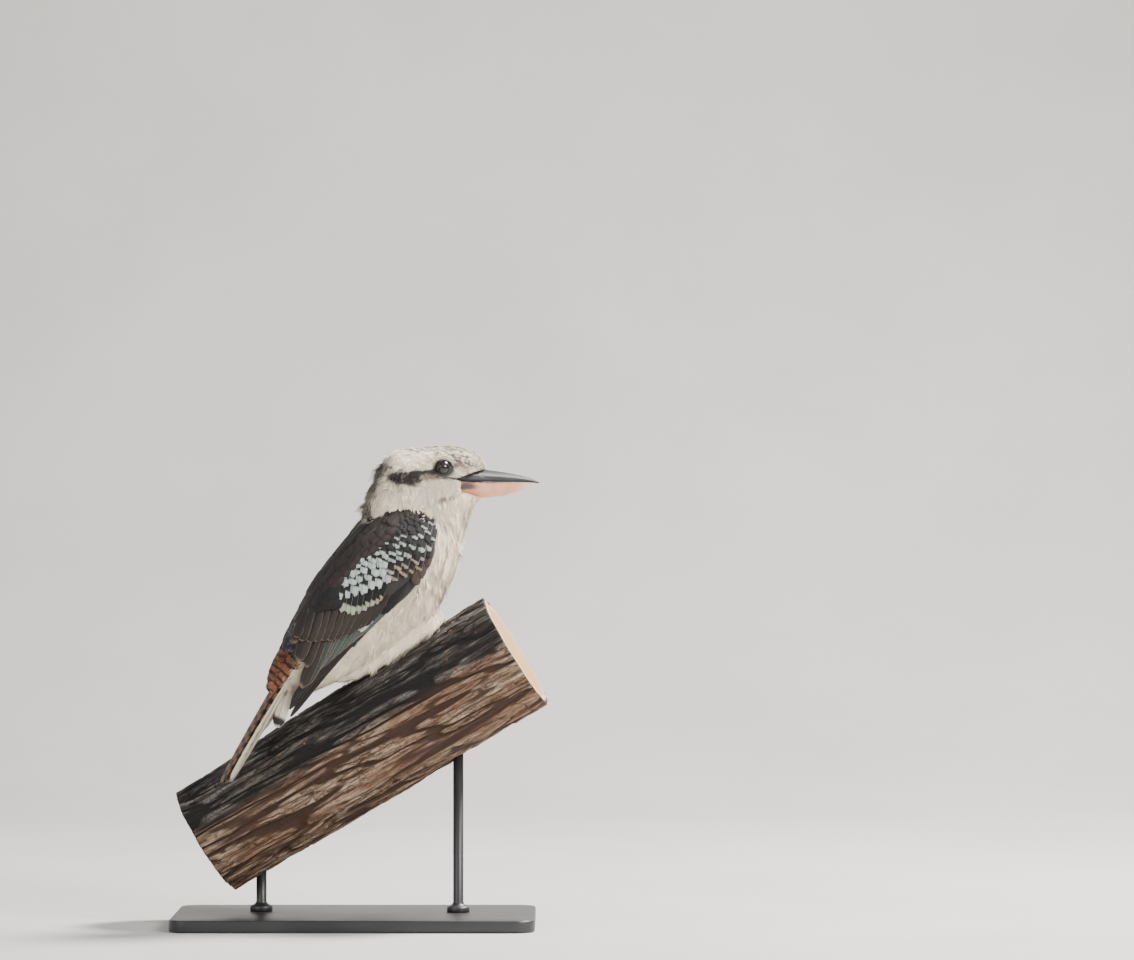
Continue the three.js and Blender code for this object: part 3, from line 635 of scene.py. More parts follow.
skin_tint = markings(body_shell(skin_s, skin_turn), skin_s, skin_turn) * 0.8
skin = surface(
    "skin", to_world(skin_points), skin_paint, turn_out=True,
    uv=np.stack([skin_turn / (2 * math.pi), np.ones_like(skin_s)], -1), bake=unwrap(skin_s, skin_turn),
    colours={"tint": skin_tint},
)
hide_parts("head", "neck", "torso")
print("skin", len(skin.data.polygons), "faces")

# %% [markdown]
# ## Small feathers in tufts
# Body feathers end in loose, hair-like strands. Each tuft here is one such feather: a fan of narrow
# strands from one root, which lie back along the body. Their places come from an even sequence, not from
# chance, so that no bald spot opens. Particle hair would look alike but doesn't survive an export.

# %% Even places over the body
EYE_AT = np.array([36.2, 21.4, 178.8])
EYE_RADIUS = 8.2
LID_RADIUS = 7.3
WING_BED = np.array([
    [-36, 14, 50, 27], [-14, 16, 56, 35], [14, 17, 58, 41.4], [42, 20, 60.5, 43.6], [66, 19.5, 57, 43],
    [92, 18.5, 51, 40.4], [118, 18.5, 44, 35.2], [140, 19, 38.5, 31], [160, 20.5, 33.5, 27.5],
    [182, 24, 28, 24], [206, 30, 22, 20.5],
])
WING_EDGES = np.array([
    [-31, 60, 78], [-24, 40, 89], [-12, 30, 98], [4, 26, 104], [30, 25, 104.5], [60, 26, 103],
    [90, 30, 106], [112, 36, 111],
])


def even_places(count, low, high, spacing):
    """Places (rib, angle) spread evenly over the body between two ribs, closer where spacing is small."""
    s = np.linspace(low, high, 400)
    per_rib, per_turn = body_metric(s[:, None], np.linspace(0, 6.28, 24)[None, :])
    area = (per_rib * per_turn).mean(1) / np.interp(s, spacing[0], spacing[1]) ** 2
    total = np.concatenate([[0], np.cumsum((area[1:] + area[:-1]) / 2)])
    n = np.arange(count) + 0.5
    first = (n * 0.7548776662) % 1
    second = (n * 0.5698402910) % 1
    return np.interp(first, total / total[-1], s), second * 2 * math.pi


def from_eye(points):
    """Distance from the middle of the lids, in the side view."""
    return np.hypot(points[..., 0] - EYE_AT[0] - 1.0, (points[..., 2] - EYE_AT[2]) * 1.12)


def clear_of_hard_parts(s, turn):
    """True where a tuft may root: not on the eye, nor on the bill, nor deep under a wing."""
    point = body_shell(s, turn)
    eye = (from_eye(point) > 8.7) | (np.abs(point[..., 1]) < 14)
    flat = point[..., [0, 2]] - SHOULDER
    u, v = flat @ ALONG_BACK, flat @ ACROSS_BACK
    bed = along(WING_BED, u)
    angle = np.degrees(np.arccos(np.clip((bed[..., 1] - v) / bed[..., 2], -1, 1)))
    edge = along(WING_EDGES, np.clip(u, -31, 112))
    under = (u > -24) & (u < 128) & (angle > edge[..., 1] + 9) & (angle < edge[..., 2] - 6)
    return eye & ~under & (bare_for_bill(point) < 0.2)

# %% Tufts of strands
STRAND_ROWS = np.array([0.0, 0.38, 0.75, 1.0])
STRAND_WIDTHS = np.array([0.8, 1.0, 0.7, 0.08])


def tufts(name, s, turn, length, width, strands, lift, faces_in_piece=31000):
    """Fans of strands on the body. Along a strand, the place moves tailwards by its length and sideways
    by its share of the fan, and the height rises from inside the skin to its lift. Slow noise over the
    body turns and lifts neighbouring tufts together, as ruffled plumage does."""
    count = len(s)
    root_point = body_shell(s, turn)
    clump = field(*(root_point.T * 0.1))
    swirl = field(*(root_point.T * 0.06 + 9.0)) - 0.5
    stray = rng.random(count) < 0.05
    fan = np.linspace(-1, 1, strands)[None, :] + rng.normal(0, 0.12, (count, strands))
    heading = 0.7 * swirl + rng.normal(0, 0.13, count) * (1 + 2 * stray)
    per_rib, per_turn = body_metric(s, turn)
    t = STRAND_ROWS[None, None, :, None]
    reach = length[:, None] * (1.05 - 0.25 * fan ** 2) * rng.uniform(0.8, 1.1, (count, strands))
    reach = reach[..., None, None]
    sideways = (width[:, None] * fan)[..., None, None] * (0.25 + 0.75 * t ** 0.8)
    half = (width / strands * 0.85)[:, None, None, None] * STRAND_WIDTHS[None, None, :, None]
    edge = np.array([-1, 1])[None, None, None, :]
    forward = reach * t
    across = sideways + half * edge
    h = heading[:, None, None, None]
    run = forward * np.cos(h) - across * np.sin(h)
    wide = forward * np.sin(h) + across * np.cos(h)
    strand_s = np.maximum(s[:, None, None, None] - run / per_rib[:, None, None, None], 0.0)
    strand_turn = turn[:, None, None, None] + wide / per_turn[:, None, None, None]
    own_lift = lift * (0.5 + 1.0 * clump) * rng.uniform(0.75, 1.3, count) * (1 + 0.8 * stray)
    own_lift = own_lift[:, None, None, None]
    height = own_lift * (t ** 1.15 - 0.25 * t ** 4) - 0.12 * (sideways ** 2) / width[:, None, None, None]
    points = on_body(strand_s, strand_turn, skin_height(strand_s, strand_turn) + height - 0.25)
    colour = markings(body_shell(s - 0.35 * length / per_rib, turn), s, turn)
    # Tufts that the slow noise lifts higher are painted lighter and low ones darker: painted shade between
    # the clumps. The random factor is each tuft's own tone.
    colour = colour * (rng.uniform(0.92, 1.08, count) * (0.9 + 0.22 * clump))[:, None]
    shape = np.stack(np.broadcast_arrays((edge + 1) / 2, t + 0 * run), -1)
    shape = np.broadcast_to(shape, run.shape + (2,))
    root = unwrap(s, turn)[:, None, None, None, :]
    bake = root + 0.003 * (shape - 0.5) * np.array([0.5, 1.0])
    step = faces_in_piece // (strands * 3)
    for k, start in enumerate(range(0, count, step)):
        part = slice(start, start + step)
        number = len(s[part])
        quads = grid_quads(4, 2, copies=number * strands)
        spread = np.broadcast_to(colour[part, None, None, None, :], points[part].shape)
        piece = make_mesh(
            f"{name}_{k}", to_world(points[part].reshape(-1, 3)), quads, tuft_paint,
            uv=shape[part], bake=bake[part], colours={"tint": spread},
        )
    print(name, count, "tufts,", count * strands * 6, "triangles")


def field_of_tufts(name, count, low, high, spacing, size, strands, keep=None):
    """Tufts between two ribs, with length, width and lift read along the body from a small table. Round
    the eye they get shorter and lie flat."""
    s, turn = even_places(count, low, high, spacing)
    good = clear_of_hard_parts(s, turn)
    if keep is not None:
        good &= keep(s, turn)
    s, turn = s[good], turn[good]
    length, width, lift = along(size, s)[:, 1:].T
    point = body_shell(s, turn)
    room = np.where(np.abs(point[..., 1]) > 12, np.clip(from_eye(point) - 8.4, 0, 30), 30)
    length = np.minimum(length, 1.1 + 0.45 * room)
    width = np.minimum(width, 0.7 + 0.2 * room)
    lift = np.minimum(lift, 0.9 + 0.2 * room)
    on_back = 1 - smooth(0.4, 1.1, off_back(turn))
    crest = on_back * np.exp(-((s - 14.6) / 0.9) ** 2)
    nape = on_back * smooth(9, 10.5, s) * (1 - smooth(13.2, 14.2, s))
    tufts(name, s, turn, length * (1 + 0.7 * crest + 0.35 * nape), width, strands,
          lift * (1 + 1.0 * crest + 0.9 * nape))

# %% The coat on trunk and head
TUFT_SIZES = np.array([
    [0, 14, 3.2, 3.6], [4, 16, 3.8, 3.8], [8, 16, 3.8, 4.6], [10.5, 12.5, 3.1, 4.4], [13, 9.5, 2.2, 3.4],
    [15, 7.2, 1.7, 2.5], [17.5, 5.0, 1.2, 1.9], [21, 3.2, 0.8, 1.2],
])
SPACING = np.array([[0, 8, 10.5, 13, 15, 17.5, 21], [4.4, 4.4, 3.5, 2.4, 1.9, 1.35, 0.95]])


def not_mantle(s, turn):
    """True off the back, where single feathers take the tufts' place."""
    return (off_back(turn) > 1.1) | (s > 9.1)


places_tried = 17000
field_of_tufts("coat_trunk", places_tried, 0.4, 10.5, SPACING, TUFT_SIZES, 7, not_mantle)
field_of_tufts("coat_head", places_tried, 10.5, 20.9, SPACING, TUFT_SIZES, 5)

# %% [markdown]
# ## Vanes
# Flight feathers, their coverts and the tail are stiff vanes: a shaft with a flat, slightly arched web on
# each side. They lie in tiers, each edge over its neighbour. One function lays any number of vanes on
# any surface. Each vane is a thin closed shell, so light and shadow treat it as a real plate.

# %% Vanes on a surface
LONG_OUTLINE = np.array([[0, 0.45], [0.25, 0.8], [0.6, 1], [0.85, 0.88], [0.95, 0.6], [1, 0.2]])
ROUND_OUTLINE = np.array([[0, 0.5], [0.3, 0.85], [0.65, 1], [0.85, 0.92], [0.95, 0.66], [1, 0.25]])
BLUNT_OUTLINE = np.array([[0, 0.5], [0.3, 0.8], [0.65, 0.95], [0.88, 1], [0.97, 0.9], [1, 0.6]])


def stations(rows):
    """Shares of a vane's length, a little closer towards the tip."""
    return np.linspace(0, 1, rows) ** 0.85


def straight(root, tip, rows):
    """Middle lines from roots to tips, each row (p, q, height)."""
    root, tip = np.asarray(root, float), np.asarray(tip, float)
    return root[:, None, :] + (tip - root)[:, None, :] * stations(rows)[None, :, None]


def vanes(place, metric, line, half, lift=0.2, arch=0.6, outline=LONG_OUTLINE, columns=7, thick=0.22,
          ragged=0.03, fray=0.0):
    """Points of many vanes, as (vane, row, ring, xyz), and their UV. place(p, q, h) gives a point of the
    bed and metric(p, q) its millimetres for each unit. Across a vane, the place moves sideways from the
    middle line by its share of the width, and its height by lift for each mm and by a low arch. fray
    pulls back single barbs' ends by up to that share of the length."""
    count, rows = line.shape[:2]
    t = stations(rows)
    width = along(outline, t)[:, 1][None, :] * (1 + ragged * rng.normal(0, 1, (count, rows)))
    half = np.broadcast_to(half, (count,))[:, None]
    lift = np.broadcast_to(lift, (count,))[:, None, None]
    per_p, per_q = metric(line[..., 0], line[..., 1])
    step = np.gradient(line, axis=1)
    step_p, step_q = step[..., 0] * per_p, step[..., 1] * per_q
    heading = np.arctan2(step_q, step_p)[..., None]
    length = np.hypot(step_p, step_q).sum(1)[:, None, None]
    share = np.linspace(-1, 1, columns)
    comb = fray * rng.uniform(0, 1, (count, 1, columns)) * length * (t ** 8)[None, :, None]
    share = np.concatenate([share, share[::-1]])
    comb = np.concatenate([comb, comb[..., ::-1]], -1)
    layer = np.concatenate([np.zeros(columns), -np.ones(columns)])
    side = share[None, None, :] * (half * width)[..., None]
    slim = np.interp(t, [0, 0.8, 1], [1, 1, 0.4])[None, :, None]
    height = line[..., 2:] + lift * side + arch * (1 - share ** 2)[None, None, :] * slim
    height = height + thick * layer[None, None, :] * slim
    p = line[..., :1] - (side * np.sin(heading) + comb * np.cos(heading)) / per_p[..., None]
    q = line[..., 1:2] + (side * np.cos(heading) - comb * np.sin(heading)) / per_q[..., None]
    points = place(p, q, height)
    uv = np.stack(np.broadcast_arrays((share[None, None, :] + 1) / 2, t[None, :, None] + 0 * p), -1)
    return points, uv


def blade_quads(rows, columns, copies):
    """Faces of closed blades: a grid that wraps round both webs, and a strip that shuts each end."""
    ring = 2 * columns
    i = np.arange(columns - 1)
    shut = np.stack([i + 1, i, ring - 1 - i, ring - 2 - i], -1)
    one = np.concatenate([grid_quads(rows, ring, closed=True), shut, shut[:, ::-1] + (rows - 1) * ring])
    return (np.arange(copies)[:, None, None] * rows * ring + one).reshape(-1, 4)

# %% Vanes as a piece
def vane_piece(name, points, uv, material, tint, slot, outer=None, tip=None, tip_from=1.2, edge=None,
               bar=None, bars=0.0, mirror=False, left_handed=False):
    """A set of vanes as one mesh, with each vane's own colours. A mirrored set is the other wing's. A bed
    whose three numbers make a left-handed set needs its faces turned round too."""
    count, rows, ring = points.shape[:3]

    def spread(value):
        """A colour, or one for each vane, given to all its points."""
        value = np.asarray(value, float)
        if value.ndim == 1:
            value = np.broadcast_to(value, (count, 3))
        return np.broadcast_to(value[:, None, None, :], (count, rows, ring, 3))

    def spread_value(value):
        """A number, or one for each vane, given to all its points."""
        value = np.broadcast_to(np.asarray(value, float), (count,))
        return np.broadcast_to(value[:, None, None], (count, rows, ring))

    quads = blade_quads(rows, ring // 2, count)
    if mirror:
        points = points * np.array([1, -1, 1])
    if mirror == left_handed:
        quads = quads[:, ::-1]
    side = math.ceil(math.sqrt(count))
    cell = np.arange(count)
    corner = np.stack([cell % side, cell // side], -1)[:, None, None, :] / side
    bake = corner + (0.04 + 0.92 * uv) / side
    piece = make_mesh(
        name, to_world(points.reshape(-1, 3)), quads, material, uv=uv, bake=bake,
        colours={
            "tint": spread(tint), "outer": spread(tint if outer is None else outer),
            "tip": spread(tint if tip is None else tip), "edge": spread(tint if edge is None else edge),
            "bar": spread(BAR_BLACK if bar is None else bar),
        },
        values={
            "tip_from": spread_value(tip_from), "bars": spread_value(bars),
            "seed": spread_value(np.arange(count) * 3.7),
        },
    )
    return piece

# %% [markdown]
# ## The folded wing
# A folded wing is a padded arm with tiers of feathers behind it. Long primaries lie lowest, along the edge.
# Secondaries with blue-green outer webs lie on them, then the greater coverts, the rows of small
# coverts with pale blue tips, and the dark scapulars on top. The far wing is the near one, mirrored and
# folded a little closer along the back, so that it doesn't stand out behind the back's outline.

# %% The bed that the wing lies on
ARM_HEIGHT = np.array([
    [-40, 7.6], [34, 7.6], [55, 5.7], [62, 5.2], [80, 3.7], [92, 2.6], [104, 1.3], [120, -0.4], [200, -0.6],
])


def bed_shell(u, angle):
    """A point of the near wing's bed: u mm behind the shoulder, at an angle in degrees from the back."""
    u, angle = np.broadcast_arrays(u, angle)
    bed = along(WING_BED, u)
    turn = np.radians(angle)
    across = bed[..., 1] - bed[..., 2] * np.cos(turn)
    flat = SHOULDER + u[..., None] * ALONG_BACK + across[..., None] * ACROSS_BACK
    return np.stack([flat[..., 0], -bed[..., 3] * np.sin(turn), flat[..., 1]], -1)


def on_bed(u, angle, height):
    """The bed, moved out along its normal by a height in mm."""
    point = bed_shell(u, angle)
    back = bed_shell(u + 1, angle) - point
    down = bed_shell(u, angle + 1) - point
    return point + unit(np.cross(back, down)) * np.asarray(height)[..., None]


def bed_metric(u, angle):
    """One mm for each unit of u, and the arc of one degree."""
    bed = along(WING_BED, u)
    return np.ones_like(u), (bed[..., 2] + bed[..., 3]) / 2 * math.pi / 180


def pad(u, angle):
    """Height of the padded arm over the bed. It falls away behind the slant rows of coverts, and is
    rounded off by the root of a sine towards its two long edges and towards its front."""
    thick = np.interp(u + 1.06 * (angle - 91), ARM_HEIGHT[:, 0], ARM_HEIGHT[:, 1])
    edge = along(WING_EDGES, np.clip(u, -31, 112))
    part = np.clip((angle - edge[..., 1]) / (edge[..., 2] - edge[..., 1]), 0, 1)
    swell = np.minimum(1, np.sqrt(np.maximum(0.04, 1.5 * np.sin(math.pi * part))))
    front = np.sqrt(np.clip(0.12 + 3.4 * (u + 31) / 143, 0.05, 1))
    return thick * swell * front - 0.9

# %% Places that the side view shows
MM_PER_PIXEL = 0.97
SIDE_OFF_MIDDLE = 42
FEET_PIXEL = np.array([400.0, 652.0])


def seen_on_bed(pixels, height):
    """Bed places (u, angle) behind pixels of the side view, for a surface at a height over the bed. It
    starts on the bird's side, and steps along the slopes of the view's two numbers until they agree."""
    c, s = math.cos(BIRD_YAW), math.sin(BIRD_YAW)
    aim = (np.asarray(pixels, float) - FEET_PIXEL) * [MM_PER_PIXEL, -MM_PER_PIXEL]
    height = np.broadcast_to(height, aim.shape[:-1])

    def shown(u, angle):
        """Where the side view shows a place of the bed: along X and up Z."""
        point = on_bed(u, angle, height)
        return np.stack([point[..., 0] * c - point[..., 1] * s, point[..., 2]], -1)

    flat = (aim - [SIDE_OFF_MIDDLE * s, 0]) / [c, 1] - SHOULDER
    u, v = flat @ ALONG_BACK, flat @ ACROSS_BACK
    bed = along(WING_BED, np.clip(u, -36, 206))
    angle = np.degrees(np.arccos(np.clip((bed[..., 1] - v) / bed[..., 2], -0.9, 0.9)))
    for _ in range(9):
        here = shown(u, angle)
        by_u = (shown(u + 0.5, angle) - here) / 0.5
        by_angle = (shown(u, angle + 0.5) - here) / 0.5
        miss = aim - here
        size = by_u[..., 0] * by_angle[..., 1] - by_u[..., 1] * by_angle[..., 0]
        size = np.where(np.abs(size) < 0.05, 0.05 * np.where(size < 0, -1, 1), size)
        step_u = (miss[..., 0] * by_angle[..., 1] - miss[..., 1] * by_angle[..., 0]) / size
        step_angle = (by_u[..., 0] * miss[..., 1] - by_u[..., 1] * miss[..., 0]) / size
        u = np.clip(u + np.clip(step_u, -15, 15), -45, 215)
        angle = np.clip(angle + np.clip(step_angle, -12, 12), 4, 150)
    return u, angle


def seen_line(tips, lie, length, low, high, rows, bow=0.0, padded=False):
    """Middle lines of vanes, from pixels of their tips in the side view, the way they lie from root to tip
    and their length. bow bends a line towards the breast. The height runs from low to high. It is less
    near the back, where feathers that stood off would show in outline."""
    t = stations(rows)
    tips = np.asarray(tips, float)
    count = len(tips)
    lie = unit(np.broadcast_to(np.asarray(lie, float), (count, 2)))
    length, bow, low, high = [np.broadcast_to(v, (count,))[:, None] for v in (length, bow, low, high)]
    over = np.stack([lie[:, 1], -lie[:, 0]], -1)
    pixels = tips[:, None] - lie[:, None] * ((1 - t) * length)[..., None]
    pixels = pixels + over[:, None] * (bow * np.sin(math.pi * t))[..., None]
    raised = low + (high - low) * t
    u, angle = seen_on_bed(pixels, raised + (4.0 if padded else 0.0))
    for _ in range(2):
        sunk = mix(0.42, 1, smooth(18, 50, angle))
        height = raised * sunk + (pad(u, angle) if padded else 0)
        u, angle = seen_on_bed(pixels, height)
    return np.stack([u, angle, height], -1)


def chain(points, count):
    """Points spread evenly along a broken line."""
    points = np.asarray(points, float)
    reach = np.concatenate([[0], np.cumsum(np.linalg.norm(np.diff(points, axis=0), axis=1))])
    at = np.linspace(0, reach[-1], count)
    return np.stack([np.interp(at, reach, points[:, k]) for k in range(points.shape[1])], -1)

# %% Colours of the wing
WING_BROWN = linear(37, 29, 26)
WING_BLACK = linear(15, 13, 14)
PRIMARY = linear(29, 22, 20)
SCAPULAR = linear(43, 33, 30)
BLUE_GREEN = linear(72, 92, 88)
PALE_BLUE = linear(188, 200, 196)
PALE_GREEN = linear(172, 180, 158)
PALE_BUFF = linear(158, 136, 110)
EDGE_BUFF = linear(150, 126, 98)
WHITE_WEB = linear(205, 209, 198)
wing_paint = vane_material("wing_feather", edge_from=0.88, barbs=60.0)
covert_paint = vane_material("wing_covert", edge_from=0.9, barbs=20.0, slant=1.6, depth=0.0005)


def folded_closer(angle, height):
    """The far wing's places and heights. It is folded a little closer near the back than the near one."""
    near_back = 1 - smooth(22, 75, angle)
    return angle + 7 * near_back, height * (1 - 0.6 * near_back) - 1.2 * near_back


def two_wings(name, line, shape, material, **colours):
    """The near wing's vanes, and those of the far wing, mirrored."""
    for side_name, mirror in (("_right", False), ("_left", True)):
        own = line.copy()
        if mirror:
            own[..., 1], own[..., 2] = folded_closer(line[..., 1], line[..., 2])
        points, uv = vanes(on_bed, bed_metric, own, **shape)
        vane_piece(name + side_name, points, uv, material, slot="plumage_dark", mirror=mirror, **colours)


def varied(colour, count, spread=0.12):
    """One colour for each of many feathers, a little lighter or darker."""
    return np.asarray(colour) * rng.uniform(1 - spread, 1 + spread, (count, 1))

# %% The arm under the coverts
arm_rows, arm_columns = 60, 40
arm_u = np.linspace(WING_EDGES[0, 0], WING_EDGES[-1, 0], arm_rows)
arm_edge = along(WING_EDGES, arm_u)
arm_angle = mix(arm_edge[:, 1:2], arm_edge[:, 2:3], np.linspace(0, 1, arm_columns)[None, :])
arm_grid_u = np.broadcast_to(arm_u[:, None], arm_angle.shape)
ARM_DEPTH = 3.0
for side_name, flip in (("right", 1), ("left", -1)):
    place_angle, place_height = arm_angle, pad(arm_grid_u, arm_angle)
    if flip < 0:
        place_angle, place_height = folded_closer(place_angle, place_height)
    arm_outer = on_bed(arm_grid_u, place_angle, place_height)
    arm_inner = on_bed(arm_grid_u, place_angle, np.full_like(arm_angle, -ARM_DEPTH))[:, ::-1]
    arm_points = np.concatenate([arm_outer, arm_inner], 1)
    chart = 0.02 + grid_chart(arm_points) * np.array([0.93, 0.96])
    arm = surface(
        "wing_arm_" + side_name, to_world(arm_points * np.array([1, flip, 1])), skin_paint,
        turn_out=flip == 1, bake=chart, uv=0 * chart + 0.5,
        colours={"tint": np.broadcast_to(WING_BLACK, arm_points.shape)},
    )
    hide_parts("wing_" + side_name)

# %% Primaries, secondaries and tertials
primary_tips = chain([(293.5, 714), (292.5, 706), (295, 698), (300, 691), (308, 685), (316, 679)], 7)
line = seen_line(primary_tips, chain([(-0.655, 0.756), (-0.7, 0.71)], 7), np.linspace(116, 84, 7),
                 0.3, np.linspace(0.8, 1.6, 7), bow=np.linspace(-3.2, -1.5, 7), rows=26)
shape = dict(half=np.linspace(3.4, 4.2, 7), lift=0.3, ragged=0.015)
two_wings("primaries", line, shape, wing_paint, tint=PRIMARY, edge=PRIMARY * 1.6, outer=PRIMARY * 1.15)
base_tips = [(361.5, 629.5), (367, 630), (356, 641)]
line = seen_line(base_tips, [(-0.74, 0.67), (-0.72, 0.7), (-0.7, 0.71)], [26, 22, 26],
                 [4.0, 1.0, 0.8], [4.6, 1.8, 1.4], rows=12)
shape = dict(half=[2.3, 1.9, 1.6], lift=0.2, outline=BLUNT_OUTLINE, fray=0.05)
two_wings("primary_bases", line, shape, covert_paint, tint=np.array([WHITE_WEB, BLUE_GREEN * 0.8, PRIMARY]))
secondary_tips = chain([(361, 631), (347, 643), (339.5, 649.5), (331.5, 656.5), (325, 663), (318, 667.5),
                        (312.5, 675), (308, 683)], 10)
line = seen_line(secondary_tips, chain([(-0.76, 0.65), (-0.66, 0.75), (-0.45, 0.89)], 10),
                 np.linspace(34, 66, 10), np.linspace(2.0, 2.8, 10), np.linspace(3.0, 4.2, 10), rows=26)
shape = dict(half=np.linspace(3.6, 5.0, 10), lift=0.34, ragged=0.015)
greenness = np.linspace(1.0, 0.35, 10)[:, None]
two_wings("secondaries", line, shape, wing_paint, tint=WING_BROWN * 0.8, edge=EDGE_BUFF,
          outer=mix(WING_BROWN, BLUE_GREEN, greenness))
tertial_tips = [(304.5, 685.5), (309, 665), (301.5, 659), (296.5, 641), (297.5, 625)]
line = seen_line(tertial_tips, [(-0.38, 0.92), (-0.33, 0.94), (-0.3, 0.95), (-0.36, 0.93), (-0.5, 0.87)],
                 [84, 64, 72, 66, 58], [2.8, 3.2, 3.6, 4.0, 4.2], [4.8, 5.0, 5.8, 6.0, 5.8], rows=24)
shape = dict(half=[5.2, 4.6, 6.3, 6.6, 6.4], lift=[0.3, 0.25, 0.14, 0.12, 0.08], ragged=0.012)
two_wings("tertials", line, shape, wing_paint, tint=varied(WING_BROWN * 1.15, 5), edge=EDGE_BUFF * 0.7,
          outer=varied(WING_BROWN * 1.35, 5))

# %% Greater coverts and primary coverts
greater_tips = chain([(299, 636), (307, 640), (316, 638.5), (325, 638.5), (333, 638), (341, 634.5),
                      (349, 631.5), (356, 628), (363, 624), (370, 619)], 13)
greater_tips += rng.normal(0, 0.5, greater_tips.shape)
line = seen_line(greater_tips, chain([(-0.3, 0.95), (-0.38, 0.92), (-0.6, 0.8)], 13),
                 np.linspace(40, 32, 13), np.linspace(4.6, 4.2, 13), np.linspace(7.2, 5.4, 13), rows=18)
shape = dict(half=np.linspace(5.6, 4.4, 13), lift=0.2, outline=ROUND_OUTLINE)
two_wings("greater_coverts", line, shape, wing_paint, tint=varied(WING_BROWN, 13), edge=EDGE_BUFF * 0.55,
          outer=varied(WING_BROWN * 1.25, 13))
front_tips = chain([(384, 612), (388, 605), (392, 599), (397, 592), (402, 584), (408, 577)], 7)
line = seen_line(front_tips, [(-0.62, 0.78)], np.linspace(44, 30, 7), 3.0, 4.2, rows=14)
shape = dict(half=4.2, lift=0.24, outline=ROUND_OUTLINE)
two_wings("primary_coverts", line, shape, covert_paint, tint=varied(WING_BLACK * 1.1, 7),
          edge=WING_BROWN * 1.1)
bend_tips = [(415.5, 584), (420, 577), (427, 566), (430.5, 556), (432, 546)]
line = seen_line(bend_tips, [(-0.3, 0.95), (-0.35, 0.94), (-0.3, 0.95), (-0.2, 0.98), (-0.1, 0.99)],
                 [26, 22, 18, 16, 14], 4.2, [7.5, 7.0, 6.0, 5.5, 5.0], rows=10)
shape = dict(half=[4.4, 4.2, 3.4, 3.0, 2.8], lift=0.2, outline=ROUND_OUTLINE)
two_wings("front_coverts", line, shape, covert_paint, tint=linear(72, 58, 52), edge=linear(52, 42, 38))

# %% [markdown]
# ## Rows of small coverts
# The patch of pale blue on the wing is made of many small dark feathers, each with a pale, square end.
# They hang steeply across the wing in rows, largest behind. A regular net of places gives the rows, every
# second row is shifted by half a feather, and a mask decides how much of each feather is pale.

# %% Small coverts
COVERT_ROWS = [
    (339, 601, 422, 567, 11, 4.7, 25, 10), (341, 588, 428, 557, 12, 4.4, 23, 8),
    (344, 579, 431, 548, 13, 4.1, 21, 7), (349, 571, 432, 540, 13, 4.0, 20, 6),
    (356, 563, 431, 532, 12, 3.8, 18, 5), (363, 554, 430, 525, 11, 3.6, 17, 4),
    (370, 547, 428, 519, 11, 3.3, 15, 0), (376, 540, 425, 515, 10, 3.0, 14, 0),
    (381, 533, 422, 512, 9, 2.9, 13, 0), (385, 526, 419, 510, 8, 2.8, 12, 0),
]
tips, halves, lengths, pales, rows_of = [], [], [], [], []
for number, (x0, y0, x1, y1, count, half, length, pale) in enumerate(COVERT_ROWS):
    share = (np.arange(count) + 0.5 * (number % 2)) / (count - 0.5)
    row = np.stack([mix(x0, x1, share), mix(y0, y1, share) + 1.5 * np.sin(share * 3.1)], -1)
    tips.append(row + rng.normal(0, 0.7, row.shape))
    size = mix(1.08, 0.85, share) * rng.uniform(0.9, 1.1, count)
    halves.append(half * size)
    lengths.append(length * size)
    pales.append(pale * size)
    rows_of.append(np.full(count, number))
tips, halves, lengths, pales, rows_of = [np.concatenate(v) for v in (tips, halves, lengths, pales, rows_of)]
x, y = tips.T
block = (x < 389) & (y - 552 > -0.75 * (x - 381) - 14)
lower_right = smooth(-6, 10, (y - 562) + 0.25 * (x - 400)) * smooth(384, 396, x)
chance = rng.uniform(0, 1, len(tips))
shown_pale = np.where(block, pales * rng.uniform(0.85, 1.2, len(tips)), pales * mix(0.85, 0.5, lower_right))
shown_pale = np.where(~block & (chance > 0.74), 0, shown_pale)
has_tip = shown_pale > 0.5
pale_colour = mix(mix(PALE_BLUE, PALE_BLUE * 0.82, (~block)[:, None]), PALE_BUFF, lower_right[:, None])
pale_colour = pale_colour * rng.uniform(0.86, 1.08, (len(tips), 1))
lie = np.array([(-0.2, 0.98), (-0.32, 0.95)])[(x > 400).astype(int)]
line = seen_line(tips, lie, lengths, 0.9, 2.3, rows=10, padded=True)
shape = dict(half=halves, lift=0.14, outline=BLUNT_OUTLINE, columns=6, fray=0.1, arch=0.8)
dark = varied(mix(WING_BLACK, WING_BROWN, smooth(6, 9, rows_of)[:, None]), len(tips))
two_wings("small_coverts", line, shape, covert_paint, tint=dark, tip=pale_colour,
          tip_from=np.where(has_tip, 1 - shown_pale / lengths, 1.3),
          edge=np.where(has_tip[:, None], pale_colour * 0.9, dark))
print("small coverts", len(tips))

